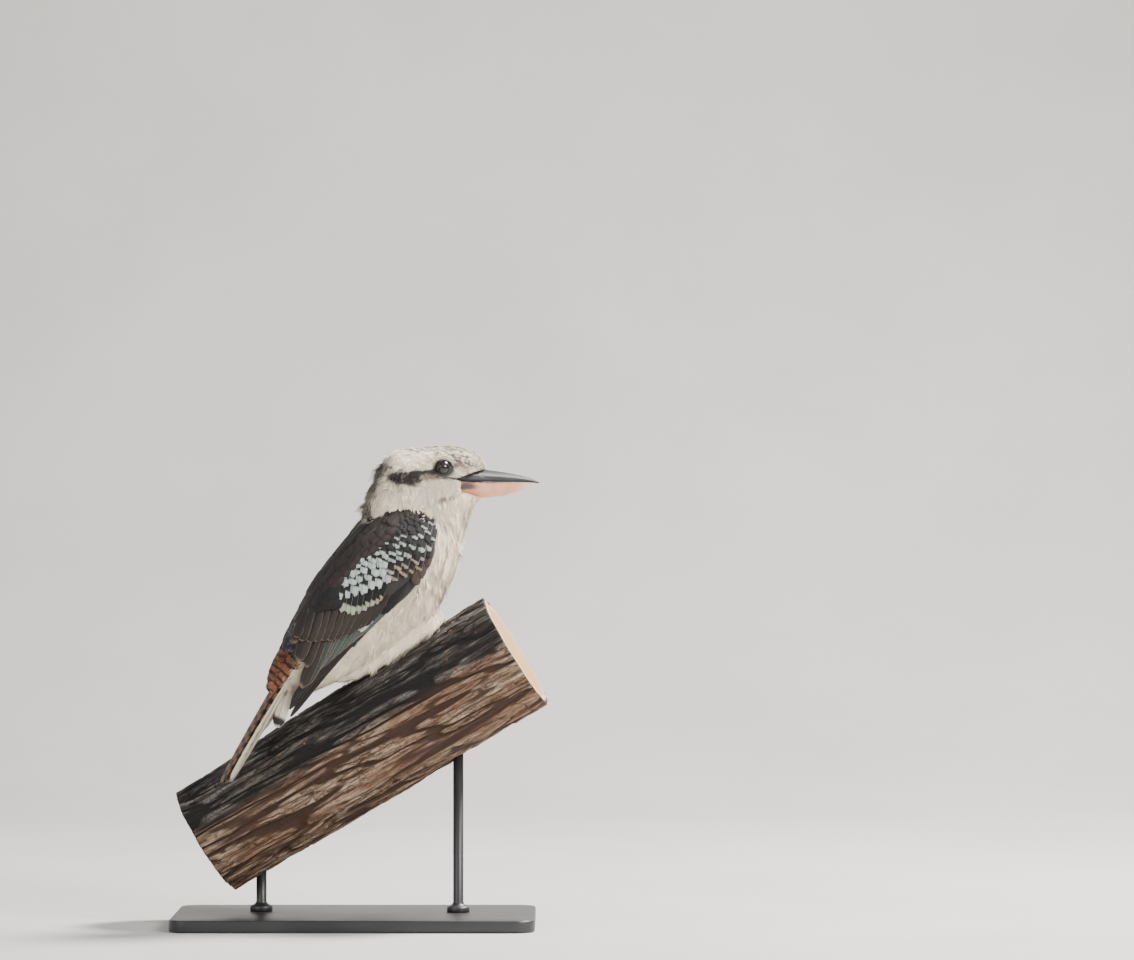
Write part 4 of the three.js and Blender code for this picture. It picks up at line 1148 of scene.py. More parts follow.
# %% The rows behind them
band_tips = chain([(342, 611), (350, 614), (358, 612.5), (365, 608.5), (372, 604.5), (380, 599)], 9)
band_tips += rng.normal(0, 0.6, band_tips.shape)
line = seen_line(band_tips, chain([(-0.22, 0.97), (-0.45, 0.9)], 9), np.linspace(26, 20, 9), 1.2, 2.4,
                 rows=12, padded=True)
shape = dict(half=np.linspace(4.4, 3.0, 9), lift=0.16, outline=BLUNT_OUTLINE, fray=0.14)
band_colour = mix(PALE_GREEN, PALE_BUFF, smooth(5.5, 9, np.arange(9))[:, None])
band_colour = band_colour * rng.uniform(0.85, 1.05, (9, 1))
two_wings("median_coverts", line, shape, covert_paint, tint=WING_BLACK, tip=band_colour,
          edge=band_colour * 0.85, tip_from=np.linspace(0.58, 0.7, 9))
inner_tips = np.concatenate([chain([(337, 607), (316, 611)], 5), chain([(333, 597), (322, 601)], 4)])
line = seen_line(inner_tips, [(-0.36, 0.93)], 28, 1.2, [2.6] * 5 + [3.4] * 4, rows=12, padded=True)
shape = dict(half=5.4, lift=0.14, outline=ROUND_OUTLINE)
two_wings("inner_coverts", line, shape, covert_paint, tint=varied(WING_BLACK * 1.1, 9), edge=WING_BROWN)

# %% Scapulars over the wing's upper edge
SCAPULAR_LINE = [(390, 525), (384, 539), (374, 549), (363, 556), (352, 564), (343, 575), (333, 588),
                 (321, 602), (309, 613)]
BACK_OUTLINE = np.array([
    [366, 510], [345, 540], [335, 552], [320, 570], [305, 590], [297, 615], [293, 622],
])
scap_tips, scap_lie, scap_high = [], [], []
for row in range(5):
    spread = chain(SCAPULAR_LINE, 15) + row * np.array([-5.6, -5.0]) + rng.normal(0, 0.8, (15, 2))
    turn_down = np.linspace(0, 1, 15)
    lie = np.stack([mix(-0.72, -0.5, turn_down), mix(0.7, 0.87, turn_down)], -1)
    first = 2 if row else 0
    scap_tips.append(spread[first:])
    scap_lie.append(lie[first:])
    scap_high.append(np.full(15 - first, 2.8 - 0.15 * row))
scap_tips, scap_lie, scap_high = [np.concatenate(v) for v in (scap_tips, scap_lie, scap_high)]
back_edge = np.interp(scap_tips[:, 1], BACK_OUTLINE[:, 1], BACK_OUTLINE[:, 0])
inside = scap_tips[:, 0] > back_edge + 3.0
scap_tips, scap_lie, scap_high = scap_tips[inside], scap_lie[inside], scap_high[inside]
scap_length = np.interp(scap_tips[:, 1], [520, 560], [17, 26])
line = seen_line(scap_tips, scap_lie, scap_length, 1.4, scap_high, rows=12, padded=True)
shape = dict(half=5.6, lift=0.06, outline=ROUND_OUTLINE, arch=0.8, columns=6, fray=0.05)
two_wings("scapulars", line, shape, covert_paint, tint=varied(SCAPULAR, len(scap_tips)),
          edge=SCAPULAR * 1.25, outer=varied(SCAPULAR * 1.1, len(scap_tips)))

# %% [markdown]
# ## Mantle and rump
# The back between the wings carries broader, rounder feathers than the breast: dark brown on the mantle,
# pale turquoise on the rump and rufous with black bars over the tail's root.

# %% Feathers of the back
BAR_STEP = 8.2
FIRST_BAR = 164.4
mantle_s, mantle_turn = even_places(2800, 1.0, 9.7, np.array([[0, 11], [7.0, 7.0]]))
mantle_turn = (mantle_turn + math.pi) % (2 * math.pi) - math.pi
keep = np.abs(mantle_turn) < 1.32 - 0.05 * mantle_s
mantle_s, mantle_turn = mantle_s[keep], mantle_turn[keep]
ribs_from_shoulder = TRUNK[:, 0]
behind = np.interp(mantle_s, np.arange(len(TRUNK)), ribs_from_shoulder)
in_rows = FIRST_BAR + BAR_STEP * np.round((behind - FIRST_BAR) / BAR_STEP) + rng.normal(0, 0.3, len(behind))
behind = np.where(behind > 142, np.minimum(in_rows, 182), behind)
mantle_s = np.where(mantle_s < 8, np.interp(-behind, -ribs_from_shoulder, np.arange(len(TRUNK))), mantle_s)
order = np.argsort(mantle_s)
mantle_s, mantle_turn = mantle_s[order], mantle_turn[order]
number = len(mantle_s)
per_rib, per_turn = body_metric(mantle_s, mantle_turn)
lean = rng.normal(0, 0.07, number)
root = np.stack([mantle_s, mantle_turn, -2.6 + 0 * mantle_s], -1)
length = 19
tip_s = mantle_s - length * np.cos(lean) / per_rib
tip = np.stack([tip_s, mantle_turn + length * np.sin(lean) / per_turn, 0 * mantle_s], -1)
points, uv = vanes(on_body, body_metric, straight(root, tip, 9), 5.4, lift=0.05, outline=ROUND_OUTLINE,
                   columns=5, arch=0.8, ragged=0.06, fray=0.05)
on_rump = 1 - smooth(4.2, 4.8, mantle_s)[:, None]
on_tail = 1 - smooth(2.65, 2.95, mantle_s)[:, None]
pale_edged = (rng.random((number, 1)) < 0.45) * on_rump * (1 - on_tail)
back_tint = mix(varied(MANTLE, number), varied(MANTLE * 1.1 + 0.01, number, 0.25), on_rump)
back_tint = mix(back_tint, RUFOUS, on_tail)
vane_piece("mantle", points, uv, covert_paint, tint=back_tint, slot="plumage_dark",
           outer=mix(back_tint, RUMP * 0.6, pale_edged * 0.35), edge=mix(back_tint * 1.2, RUMP, pale_edged),
           bars=np.where(on_tail[:, 0] > 0.5, 2.3, 0.0))
print("mantle", number, "feathers")

# %% [markdown]
# ## The tail
# Twelve long feathers lie stacked, the middle pair on top. They are rufous with black bars, the outer ones
# whiter, and all end in white. One outer feather is let down against the limb, as in life.

# %% Tail feathers
TAIL_ROOT = np.array([-110.0, 0, -4])
TAIL_TIP = np.array([-180.0, 0, -125])
TAIL_LENGTH = float(np.linalg.norm(TAIL_TIP - TAIL_ROOT))
tail_run = (TAIL_TIP - TAIL_ROOT) / TAIL_LENGTH
tail_up = np.cross([0, 1, 0], tail_run)


def on_tail_bed(distance, side, height):
    """A flat bed: distance along the tail, side in y, height out of its upper face."""
    along_it = distance[..., None] * tail_run
    return TAIL_ROOT + along_it + side[..., None] * np.array([0, 1, 0]) + height[..., None] * tail_up


def tail_metric(distance, side):
    """Both units of the bed are millimetres already."""
    return np.ones_like(distance), np.ones_like(distance)


tail_paint = vane_material("tail_feather", edge_from=0.92, barbs=70.0, bar_wobble=0.05, bar_width=0.1,
                           stagger=2.7)
STACKED = 0.87
WHITE_TIP = linear(214, 204, 182)
roots, ends, halves, tints, outers, bars = [], [], [], [], [], []
for pair in range(6):
    for side in (-1, 1):
        depth = -STACKED * (pair + 1) if pair else -STACKED * (side + 1) / 2
        half = 8.6 if pair else 9.8
        out = half + 0.4 + 1.4 * (pair - 1) if pair else 3.4
        roots.append([8, side * (8 + 0.6 * pair if pair else 2.4), depth])
        ends.append([TAIL_LENGTH - 1.2 * pair, side * out, depth])
        halves.append(half)
        webs = [mix(RUFOUS, WHITE_TIP, pale) for pale in ((pair / 5) ** 2, min(1.0, pair / 3.5) ** 1.5)]
        tints.append(webs[side < 0])
        outers.append(webs[side > 0])
        bars.append(10.8 if pair < 4 else 0.0)
points, uv = vanes(on_tail_bed, tail_metric, straight(roots, ends, 40), np.array(halves), lift=0.0,
                   arch=0.25, ragged=0.01, fray=0.02)
tail = vane_piece("tail_feathers", points, uv, tail_paint, tint=np.array(tints), slot="plumage_rufous",
                  outer=np.array(outers), tip=WHITE_TIP, tip_from=0.955, bars=np.array(bars),
                  bar=BAR_BLACK * 1.3, left_handed=True)
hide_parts("tail")
line = straight([[20, -11, -8], [8, -15, -7]], [[67, -19, -17], [134, -22, -1.5]], 30)
points, uv = vanes(on_tail_bed, tail_metric, line, [2.6, 3.2], lift=[2.4, -1.3], fray=0.03)
vane_piece("tail_let_down", points, uv, tail_paint, tint=WHITE_TIP, slot="plumage_rufous",
           outer=WHITE_TIP * 0.9, tip=np.array([BAR_BLACK, WHITE_TIP]), tip_from=[0.76, 1.2],
           edge=WHITE_TIP, left_handed=True)

# %% Coverts of the tail
upper = []
for row in range(3):
    for k in np.linspace(-1, 1, 7 + row):
        start = -14 - BAR_STEP * row + rng.normal(0, 0.3)
        upper.append((start, k * (7.0 + 1.3 * row), 57.4 - BAR_STEP * (row // 2)))
upper = np.array(upper)
fall = 0.12 * np.abs(upper[:, 1]) ** 1.6
ends = upper[:, 0] + upper[:, 2] * 0.9
root = np.stack([upper[:, 0], upper[:, 1] * 0.9, 10.5 - fall], -1)
end_height = np.interp(ends, [-25, 0, 22, 38], [16, 14.5, 12.0, 6.5]) - fall
tip = np.stack([ends, upper[:, 1] * 1.1, end_height], -1)
points, uv = vanes(on_tail_bed, tail_metric, straight(root, tip, 12), 5.0, lift=0.0, columns=5, arch=0.8,
                   outline=ROUND_OUTLINE, fray=0.08)
vane_piece("tail_coverts", points, uv, tail_paint, tint=varied(RUFOUS, len(upper), 0.18),
           slot="plumage_rufous", bars=upper[:, 2] * 0.9 / BAR_STEP, bar=BAR_BLACK * 1.3, edge=RUFOUS * 1.1,
           left_handed=True)
lower = []
for row in range(4):
    for k in np.linspace(-1, 1, 6):
        lower.append((-14 + 12 * row, k * (13 - 0.8 * row), 52 + 2 * row, abs(k)))
lower = np.array(lower)
root = np.stack([lower[:, 0], lower[:, 1], -17 + 5 * lower[:, 3]], -1)
end_height = -9.5 + 0.1 * lower[:, 0] + 1.5 * lower[:, 3]
tip = np.stack([lower[:, 0] + lower[:, 2], lower[:, 1] * 1.2, end_height], -1)
roll = np.sign(lower[:, 1]) * 1.6 * lower[:, 3] ** 2
half = 5.4 / np.sqrt(1 + roll ** 2)
points, uv = vanes(on_tail_bed, tail_metric, straight(root, tip, 14), half, lift=roll, columns=6, arch=0.5,
                   outline=ROUND_OUTLINE, fray=0.14)
vane_piece("under_tail_coverts", points, uv, covert_paint, tint=varied(WHITE_TIP, len(lower), 0.06),
           slot="plumage_white", left_handed=True)

# %% [markdown]
# ## The bill
# The bill is massive: a black upper half with a ridge and a slight hook, and a horn-coloured lower half.
# Each is a grid: one parameter runs along the bill, the other from one cutting edge over the ridge to the
# other. The two halves close on each other along the line of the mouth.

# %% The bill's two halves
BILL = np.array([
    [44, 180, 168, 151, 24], [58, 179.6, 166.2, 150, 22.6], [66, 179.2, 165.6, 149.8, 20.4],
    [76, 178.5, 165.2, 149.9, 17.4], [88, 177.2, 165, 150.3, 13.8], [106, 174.8, 164.7, 152.4, 9.8],
    [121, 172, 164.6, 156.6, 6.6], [131, 169.3, 164.4, 160.6, 4.2], [137, 167, 164, 162.9, 2.4],
    [141.3, 164.9, 163.4, 163, 0.9],
])


def bill_half(upper, rows=70, columns=33):
    """At x along the bill, the arch is width times the cosine across and rise times a power of the sine
    up, and a flat return closes it. A groove runs above the cutting edge and a slit marks the nostril."""
    stop = 141.3 if upper else 137.8
    x = 50 + (stop - 50) * np.linspace(0, 1, rows)[:, None] ** 0.9
    row = along(BILL, x[:, 0])
    top, mouth, under, half = [row[:, k][:, None] for k in (1, 2, 3, 4)]
    line = mouth + (0.15 if upper else -0.15)
    rise = (top - line) if upper else (under - line)
    turn = np.linspace(0, math.pi, columns)[None, :]
    ridge = 0.05 * np.exp(-((turn - math.pi / 2) / 0.16) ** 2)
    arch = np.sin(turn) ** 0.85 * (1 - 0.1 * np.sin(2 * turn) ** 2) + ridge
    wide = half * (1 if upper else 0.93)
    y = wide * np.cos(turn)
    z = line + rise * arch
    grid_x = np.broadcast_to(x, y.shape).copy()
    groove = np.exp(-((arch - 0.3) / 0.09) ** 2) * np.exp(-((grid_x - 78) / 22) ** 2)
    slit = np.exp(-((grid_x - 79) / 3.4) ** 2 - ((z - 171.2) / 0.9) ** 2) if upper else 0 * groove
    y = y * (1 - 0.03 * groove) - np.sign(y) * 0.7 * slit
    outer = np.stack([grid_x, y, z], -1)
    back = np.linspace(1, -1, 9)[None, 1:-1] * -1
    inner_y = wide * back * 0.98
    inner = np.stack([np.broadcast_to(x, inner_y.shape), inner_y, line + 0.05 * rise * (1 - back ** 2)], -1)
    return np.concatenate([outer, inner], 1), slit

# %% Horn, dark and pale
upper_grid, upper_slit = bill_half(True)
lower_grid, _ = bill_half(False)
horn_black, cover, shader = new_material("bill_black_horn", Roughness=0.5, Specular_IOR_Level=0.25)
place = cover.place()
fine = cover.noise(place, 260.0, 5.0, 0.6)
coarse = cover.noise(place, 60.0, 3.0, 0.5)
slate = cover.blend(cover.ramp(coarse, 0.3, 0.75), linear(18, 18, 20), linear(32, 32, 36))
slate = cover.blend(cover.attribute("slate", "Fac"), slate, linear(36, 38, 43))
# Along the top of the ridge the horn is painted pale cream: a painted highlight of the light from above.
slate = cover.blend(cover.attribute("ridge", "Fac"), slate, linear(176, 168, 156))
slate = cover.blend(cover.ramp(fine, 0.55, 0.8), slate, linear(26, 26, 29))
# The nostril slit is painted near black: painted shade inside the opening.
slate = cover.blend(cover.attribute("pit", "Fac"), slate, (0.004, 0.004, 0.004))
cover_with(cover, shader, slate, fine, 0.00025, 0.6)

horn_pink, cover, shader = new_material(
    "bill_pink_horn", Roughness=0.42, Coat_Weight=0.2, Coat_Roughness=0.25,
)
place = cover.place()
chart = cover.chart()
fine = cover.noise(place, 300.0, 5.0, 0.6, (0.4, 1, 1))
coarse = cover.noise(place, 90.0, 3.0, 0.5)
pink = cover.blend(cover.ramp(coarse, 0.3, 0.7), linear(226, 164, 130), linear(212, 144, 112))
base_share = cover.plus(chart["Y"], cover.times(coarse, 0.1))
pink = cover.blend(cover.ramp(base_share, 0.75, 1.02), pink, linear(228, 200, 166))
pink = cover.blend(cover.times(cover.ramp(fine, 0.5, 0.8), 0.35), pink, linear(178, 112, 86))
# This value holds the dark smudge at the lower bill's base and the painted shade along the mouth line.
smudge = cover.times(cover.attribute("smudge", "Fac"), cover.ramp(coarse, 0.25, 0.5))
pink = cover.blend(smudge, pink, linear(58, 46, 44))
cover_with(cover, shader, pink, fine, 0.0002, 0.5)

# %% The two halves in place
x, z = upper_grid[..., 0], upper_grid[..., 2]
row = along(BILL, x)
height_share = (z - row[..., 2]) / (row[..., 1] - row[..., 2])
pit = np.zeros(x.shape)
pit[:, :33] = smooth(0.15, 0.5, upper_slit)
# The top of the ridge, from the nostril to near the tip, carries the painted highlight.
ridge_highlight = smooth(0.93, 1.0, height_share) * smooth(60, 80, x) * (1 - smooth(134, 141, x))
on_slate = smooth(0.4, 0.7, height_share) * (1 - ridge_highlight) * (1 - smooth(118, 134, x)) * 0.8
chart = grid_chart(upper_grid)
upper_bill = surface("upper_bill", to_world(upper_grid), horn_black, uv=chart, bake=chart * 0.94 + 0.02,
                     values={"pit": pit, "ridge": ridge_highlight * 0.8, "slate": on_slate})
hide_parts("bill_upper")
x, z = lower_grid[..., 0], lower_grid[..., 2]
# Along the mouth line, under the edge of the upper bill, the lower bill is painted darker: painted shade.
# The spot at the base is its own dark smudge.
mouth_line_shade = 0.8 * (1 - smooth(0.4, 1.6, 165.0 - z)) * (1 - smooth(84, 128, x))
base_smudge_and_mouth_shade = np.maximum(spot(x, z, 60, 161, 13, 3.8, -0.05), mouth_line_shade)
chart = grid_chart(lower_grid)
lower_bill = surface("lower_bill", to_world(lower_grid), horn_pink, turn_out=True, uv=chart,
                     bake=chart * 0.94 + 0.02, values={"smudge": base_smudge_and_mouth_shade})
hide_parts("bill_lower")

# %% [markdown]
# ## Eyes and lids
# A kookaburra's eye is large and almost black, with a dark brown iris. The ball bulges a little at the
# cornea. A ring of bare dark skin, thicker above, frames it.

# %% Eyes
EYE_TILT = 0.24


def set_in_head(x, y, z, side):
    """Places round the eye, worked out as if it faced +y, turned forwards and set on one side."""
    turned_x = x * math.cos(EYE_TILT) + y * math.sin(EYE_TILT)
    turned_y = (-x * math.sin(EYE_TILT) + y * math.cos(EYE_TILT)) * side
    return np.stack([EYE_AT[0] + turned_x, EYE_AT[1] * side + turned_y, EYE_AT[2] + z], -1)


def eye_ball(side):
    """A ball whose radius grows a little towards its outer pole. The first parameter is the angle from
    that pole, the second goes round."""
    polar = np.linspace(0.02, math.pi - 0.02, 40)[:, None]
    round_it = angles(48)[None, :]
    radius = EYE_RADIUS * (1 + 0.035 * np.exp(-(polar / 0.55) ** 2))
    x = radius * np.sin(polar) * np.cos(round_it)
    z = radius * np.sin(polar) * np.sin(round_it)
    y = radius * np.cos(polar) + 0 * round_it
    chart = np.stack(np.broadcast_arrays(round_it / (2 * math.pi), polar / math.pi), -1)
    return set_in_head(x, y, z, side), chart

# %% Iris, pupil and bare skin
eye_paint, cover, shader = new_material("eye", Roughness=0.18, Coat_Weight=0.25, Coat_Roughness=0.03)
chart = cover.chart()
place = cover.place()
rays = cover.noise(place, 700.0, 3.0, 0.7)
iris = cover.blend(cover.ramp(rays, 0.35, 0.65), linear(30, 22, 20), linear(52, 40, 35))
polar = chart["Y"]
colour = cover.blend(cover.ramp(polar, 0.115, 0.13), (0.002, 0.002, 0.002), iris)
colour = cover.blend(cover.ramp(polar, 0.215, 0.245), colour, linear(16, 12, 11))
cover_with(cover, shader, colour)

lid_paint, cover, shader = new_material("eyelid_skin", Roughness=0.8, Specular_IOR_Level=0.25)
place = cover.place()
wrinkle = cover.noise(place, 1400.0, 4.0, 0.6)
colour = cover.blend(cover.ramp(wrinkle, 0.3, 0.7), linear(12, 10, 10), linear(30, 26, 24))
cover_with(cover, shader, colour, wrinkle, 0.0004)

# %% Lids, and both eyes in place
def lid_ring(side):
    """A ring round the eye: a circle of bare skin, thicker above, drawn out to a corner behind and to a
    smaller one in front, and set on the eye's slant."""
    round_it = angles(72)[:, None]
    roll = angles(14)[None, :]
    rear = np.exp(-((round_it - math.pi - 0.25) / 0.3) ** 2)
    front = np.exp(-((round_it - 2 * math.pi + 0.25) / 0.3) ** 2)
    thick = 1.2 + 0.3 * np.sin(round_it) + 0.1 * np.sin(9 * round_it) + 0.9 * rear + 0.4 * front
    radius = LID_RADIUS + 0.3 * np.cos(2 * round_it) + thick * np.cos(roll) + 1.1 * rear + 0.5 * front
    x = radius * np.cos(round_it)
    z = radius * np.sin(round_it) * 0.92
    y = 0.9 * thick * np.sin(roll) + 4.6
    return set_in_head(x, y, z, side)


for side_name, side in (("right", -1), ("left", 1)):
    grid, chart = eye_ball(side)
    eye = surface("eyeball_" + side_name, to_world(grid), eye_paint, turn_out=side == -1, uv=chart,
                  bake=chart * 0.97)
    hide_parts("eye_" + side_name)
    ring = lid_ring(side)
    lid = surface("eyelid_" + side_name, to_world(ring), lid_paint, turn_out=side == -1, ring=True,
                  bake=grid_chart(ring) * 0.9 + 0.02)

# %% [markdown]
# ## The limb
# Rough bark is a field of long furrows. The limb is one grid: along it and round it. Ridged noise,
# stretched along the limb and bent by slower noise, cuts the furrows into the mesh itself, so that they
# show in outline, and the same depth, kept as an attribute, darkens them.

# %% The limb's shape
BARK_RELIEF = 1.9


def bark_swell(distance, turn):
    """The slow waves of the limb's outside, in mm, worn away where the bird sits."""
    ridges = np.sin(9 * turn + 0.012 * distance + 1.3 * np.sin(0.021 * distance))
    broad = np.sin(4 * turn - 0.017 * distance + 0.8)
    worn = 1 - 0.75 * np.exp(-((distance / 60) ** 2)) * np.maximum(0, np.cos(turn))
    return BARK_RELIEF * worn * (0.62 * ridges + 0.38 * broad)


def round_field(distance, turn, along_scale, count, seed):
    """Soft noise that closes on itself round the limb, count cells to a turn."""
    place = turn / (2 * math.pi) * count
    low = np.floor(place)
    share = smooth(0, 1, place - low)
    x = distance / along_scale + hash_noise(low % count, seed)
    next_x = distance / along_scale + hash_noise((low + 1) % count, seed)
    total = 0
    for b, at, weight_b in ((0, x, 1 - share), (1, next_x, share)):
        ix = np.floor(at)
        fx = smooth(0, 1, at - ix)
        for a in (0, 1):
            total = total + (fx if a else 1 - fx) * weight_b * hash_noise(ix + a, (low + b) % count, seed)
    return total


def furrows(distance, turn):
    """0 on the plates of bark and 1 at the bottom of the long furrows between them. A furrow runs where
    a noise that is stretched along the limb crosses its middle value."""
    broad_bend = 0.1 * (round_field(distance, turn, 60, 6, 3) - 0.5)
    fine_bend = 0.035 * (round_field(distance, turn, 24, 19, 5) - 0.5)
    twisted = turn + broad_bend + fine_bend + 0.0009 * distance
    first = np.abs(2 * round_field(distance, twisted, 80, 44, 11) - 1)
    second = np.abs(2 * round_field(distance, twisted, 50, 84, 17) - 1)
    cracks = np.abs(2 * round_field(distance, twisted, 13, 40, 23) - 1)
    deep = 1 - smooth(0.0, 0.34, first)
    shallow = 1 - smooth(0.0, 0.36, second)
    across = (1 - smooth(0, 0.1, cracks)) * 0.35
    return np.clip(np.maximum(np.maximum(deep, 0.55 * shallow), across), 0, 1)

# %% The limb's grid
bark_rows, bark_columns = 222, 440
distance = np.linspace(-LIMB_BELOW_FEET, LIMB_ABOVE_FEET, bark_rows)[:, None]
turn = angles(bark_columns)[None, :]
distance, turn = np.broadcast_arrays(distance, turn)
depth = furrows(distance, turn)
grain = round_field(distance, turn, 16, 190, 31) + 0.5 * round_field(distance, turn, 5, 290, 37)
worn_seat = 1 - 0.7 * np.exp(-((distance / 34) ** 2)) * smooth(0.6, 0.97, np.cos(turn))
PLATES_STAND, FURROWS_CUT, GRAIN_STANDS = 1.2, 3.6, 1.0
plain_radius = LIMB_RADIUS + LIMB_TAPER * distance
carved = PLATES_STAND - FURROWS_CUT * depth + GRAIN_STANDS * (grain - 0.75)
radius = plain_radius + bark_swell(distance, turn) + worn_seat * carved
limb_points = (limb_middle + distance[..., None] * limb_run + (radius * np.cos(turn))[..., None] * limb_top
               + (radius * np.sin(turn))[..., None] * limb_side)
print("the bark stands", round(float((radius - plain_radius).mean()), 2), "mm proud on average")

# %% Bark
bark_paint, cover, shader = new_material("bark", Roughness=0.92)
place = cover.place()
turned = cover.add("ShaderNodeMapping", Vector=place, Rotation=(0, LIMB_SLOPE, 0)).outputs[0]
fibre = cover.noise(turned, 420.0, 6.0, 0.72, (0.08, 1, 1))
strands = cover.noise(turned, 170.0, 4.0, 0.65, (0.12, 1, 1))
patch = cover.noise(turned, 26.0, 4.0, 0.6, (0.4, 1, 1))
fleck = cover.noise(turned, 230.0, 2.0, 0.5, (0.6, 1, 1))
crack_at = cover.add("ShaderNodeMapping", Vector=turned, Scale=(0.16, 1, 1)).outputs[0]
bent = cover.add("ShaderNodeTexNoise", Vector=turned, Scale=70.0).outputs["Color"]
warped = cover.add("ShaderNodeVectorMath", {"operation": "MULTIPLY_ADD"}, in_0=bent,
                   in_1=(0.016, 0.016, 0.016), in_2=crack_at).outputs[0]
crack = cover.cells(warped, 150.0)
line = cover.times(cover.ramp(crack, 0.07, 0.0), cover.ramp(patch, 0.38, 0.62))
# Painted light and shade: the lower flank is painted as lit tan bark and the top as shaded dark bark.
lit = cover.ramp(cover.plus(cover.attribute("underside", "Fac"), cover.times(patch, 0.5)), 0.5, 0.95)
# worn lightens patches of the plates. On the dark top it paints grey highlights on the ridges; on the tan
# flank it is the bark's own lighter tone.
worn = cover.ramp(cover.plus(cover.times(strands, 0.6), cover.times(patch, 0.4)), 0.42, 0.62)
shaded_top_bark = cover.blend(worn, linear(44, 37, 33), linear(118, 112, 106))
lit_flank_bark = cover.blend(worn, linear(120, 90, 68), linear(178, 156, 134))
plate = cover.blend(lit, shaded_top_bark, lit_flank_bark)
plate = cover.blend(cover.ramp(fibre, 0.56, 0.4), plate, cover.tinted(plate, (0.34, 0.3, 0.28)))
plate = cover.blend(cover.times(cover.ramp(fleck, 0.69, 0.74), 0.8), plate, linear(176, 98, 46))
# The furrows are painted darker, partly with their own darker bark and partly with painted shade: near
# black on the shaded top, warm brown on the lit flank.
furrow_tone = cover.blend(lit, linear(18, 14, 13), linear(58, 38, 27))
hollow = cover.ramp(cover.attribute("furrow", "Fac"), 0.12, 0.6)
colour = cover.blend(cover.math("MAXIMUM", hollow, cover.times(line, 0.7)), plate, furrow_tone)
height = cover.math("SUBTRACT", cover.plus(fibre, strands), cover.times(line, 0.6))
cover_with(cover, shader, colour, height, 0.0026)

# %% Cut wood
wood_paint, cover, shader = new_material("cut_wood", Roughness=0.8)
chart = cover.chart()
place = cover.place()
wander = cover.noise(place, 30.0, 3.0, 0.5)
ring_at = cover.plus(chart["Y"], cover.times(wander, 0.09))
rings = cover.math("SINE", cover.times(ring_at, 150.0))
saw = cover.noise(place, 420.0, 2.0, 0.5, (1, 1, 0.08))
colour = cover.blend(cover.ramp(rings, -0.6, 0.8), linear(196, 158, 112), linear(158, 116, 76))
colour = cover.blend(cover.ramp(ring_at, 0.86, 0.93), colour, linear(206, 178, 138))
colour = cover.blend(cover.ramp(chart["Y"], 0.93, 0.96), colour, linear(66, 46, 34))
colour = cover.blend(cover.times(cover.ramp(saw, 0.45, 0.7), 0.3), colour, linear(120, 88, 60))
cover_with(cover, shader, colour, cover.plus(saw, cover.times(rings, 0.2)), 0.0006)

# %% The limb in place
up_limb = (distance + LIMB_BELOW_FEET) / (LIMB_BELOW_FEET + LIMB_ABOVE_FEET)
bark_bake = np.stack([0.02 + 0.95 * turn / (2 * math.pi), 0.02 + 0.96 * up_limb], -1)
# underside marks the lower flank, which the bark paints as lit: painted light.
bark = surface("perch_bark", limb_points * MM, bark_paint, turn_out=True, bake=bark_bake,
               values={"furrow": depth * worn_seat, "underside": smooth(-0.5, 0.2, -np.cos(turn))})
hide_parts("perch")


def cut_end(name, ring, outward):
    """A thin plate of bare wood on a cut end, inside the ring of bark: out from its middle to its edge on
    the front, round the edge, and back to the middle behind."""
    share = np.array([0.08, 0.2, 0.35, 0.5, 0.65, 0.8, 0.92, 0.975, 0.985, 0.985, 0.9])[:, None, None]
    out = np.array([0.4, 0.4, 0.4, 0.4, 0.4, 0.4, 0.4, 0.35, 0.2, -0.6, -0.6])[:, None, None]
    middle = ring.mean(0)
    grid = middle + (ring[None, ::2] - middle) * share + outward * out
    chart = np.stack(np.broadcast_arrays(np.linspace(0, 0.99, grid.shape[1])[None, :], share[..., 0]), -1)
    piece = surface(
        name, grid * MM, wood_paint, turn_out=np.dot(limb_run, outward) < 0, uv=chart,
        bake=grid_chart(grid) * np.array([0.99, 0.96]) + np.array([0, 0.02]),
    )
    return piece


cut_end("perch_end_low", limb_points[0], -limb_run)
cut_end("perch_end_high", limb_points[-1], limb_run)

# %% [markdown]
# ## Feet
# The feet are small and grey-green: three toes forward and one back, with scales on top and curved
# claws. A tube follows each toe over the limb, thicker at its joints.

# %% Tubes over the limb
def limb_height(x, y):
    """Height of the limb's plain outside in the bird's frame, found by halving an interval."""
    c, s = math.cos(BIRD_YAW), math.sin(BIRD_YAW)
    wx = x * c - y * s + FEET_AT[0]
    wy = x * s + y * c + FEET_AT[1]
    low, high = np.full(np.shape(x), 60.0), np.full(np.shape(x), 460.0)
    for _ in range(40):
        middle = (low + high) / 2
        away = np.stack([wx, wy, middle], -1) - limb_middle
        above = away @ limb_top
        radius = LIMB_RADIUS + LIMB_TAPER * (away @ limb_run)
        inside = (above < 0) | (np.hypot(above, away @ limb_side) < radius)
        low, high = np.where(inside, middle, low), np.where(inside, high, middle)
    return low - FEET_AT[2]


def tube(path, radii, sides=18):
    """A round tube: each ring stands across the path, at the path's own radius there."""
    ahead = unit(np.gradient(path, axis=0))
    side = unit(np.cross([0, 1, 0], ahead))
    up = np.cross(ahead, side)
    turn = angles(sides)
    ring = side[:, None] * np.cos(turn)[None, :, None] + up[:, None] * np.sin(turn)[None, :, None]
    return path[:, None] + ring * np.asarray(radii)[:, None, None]


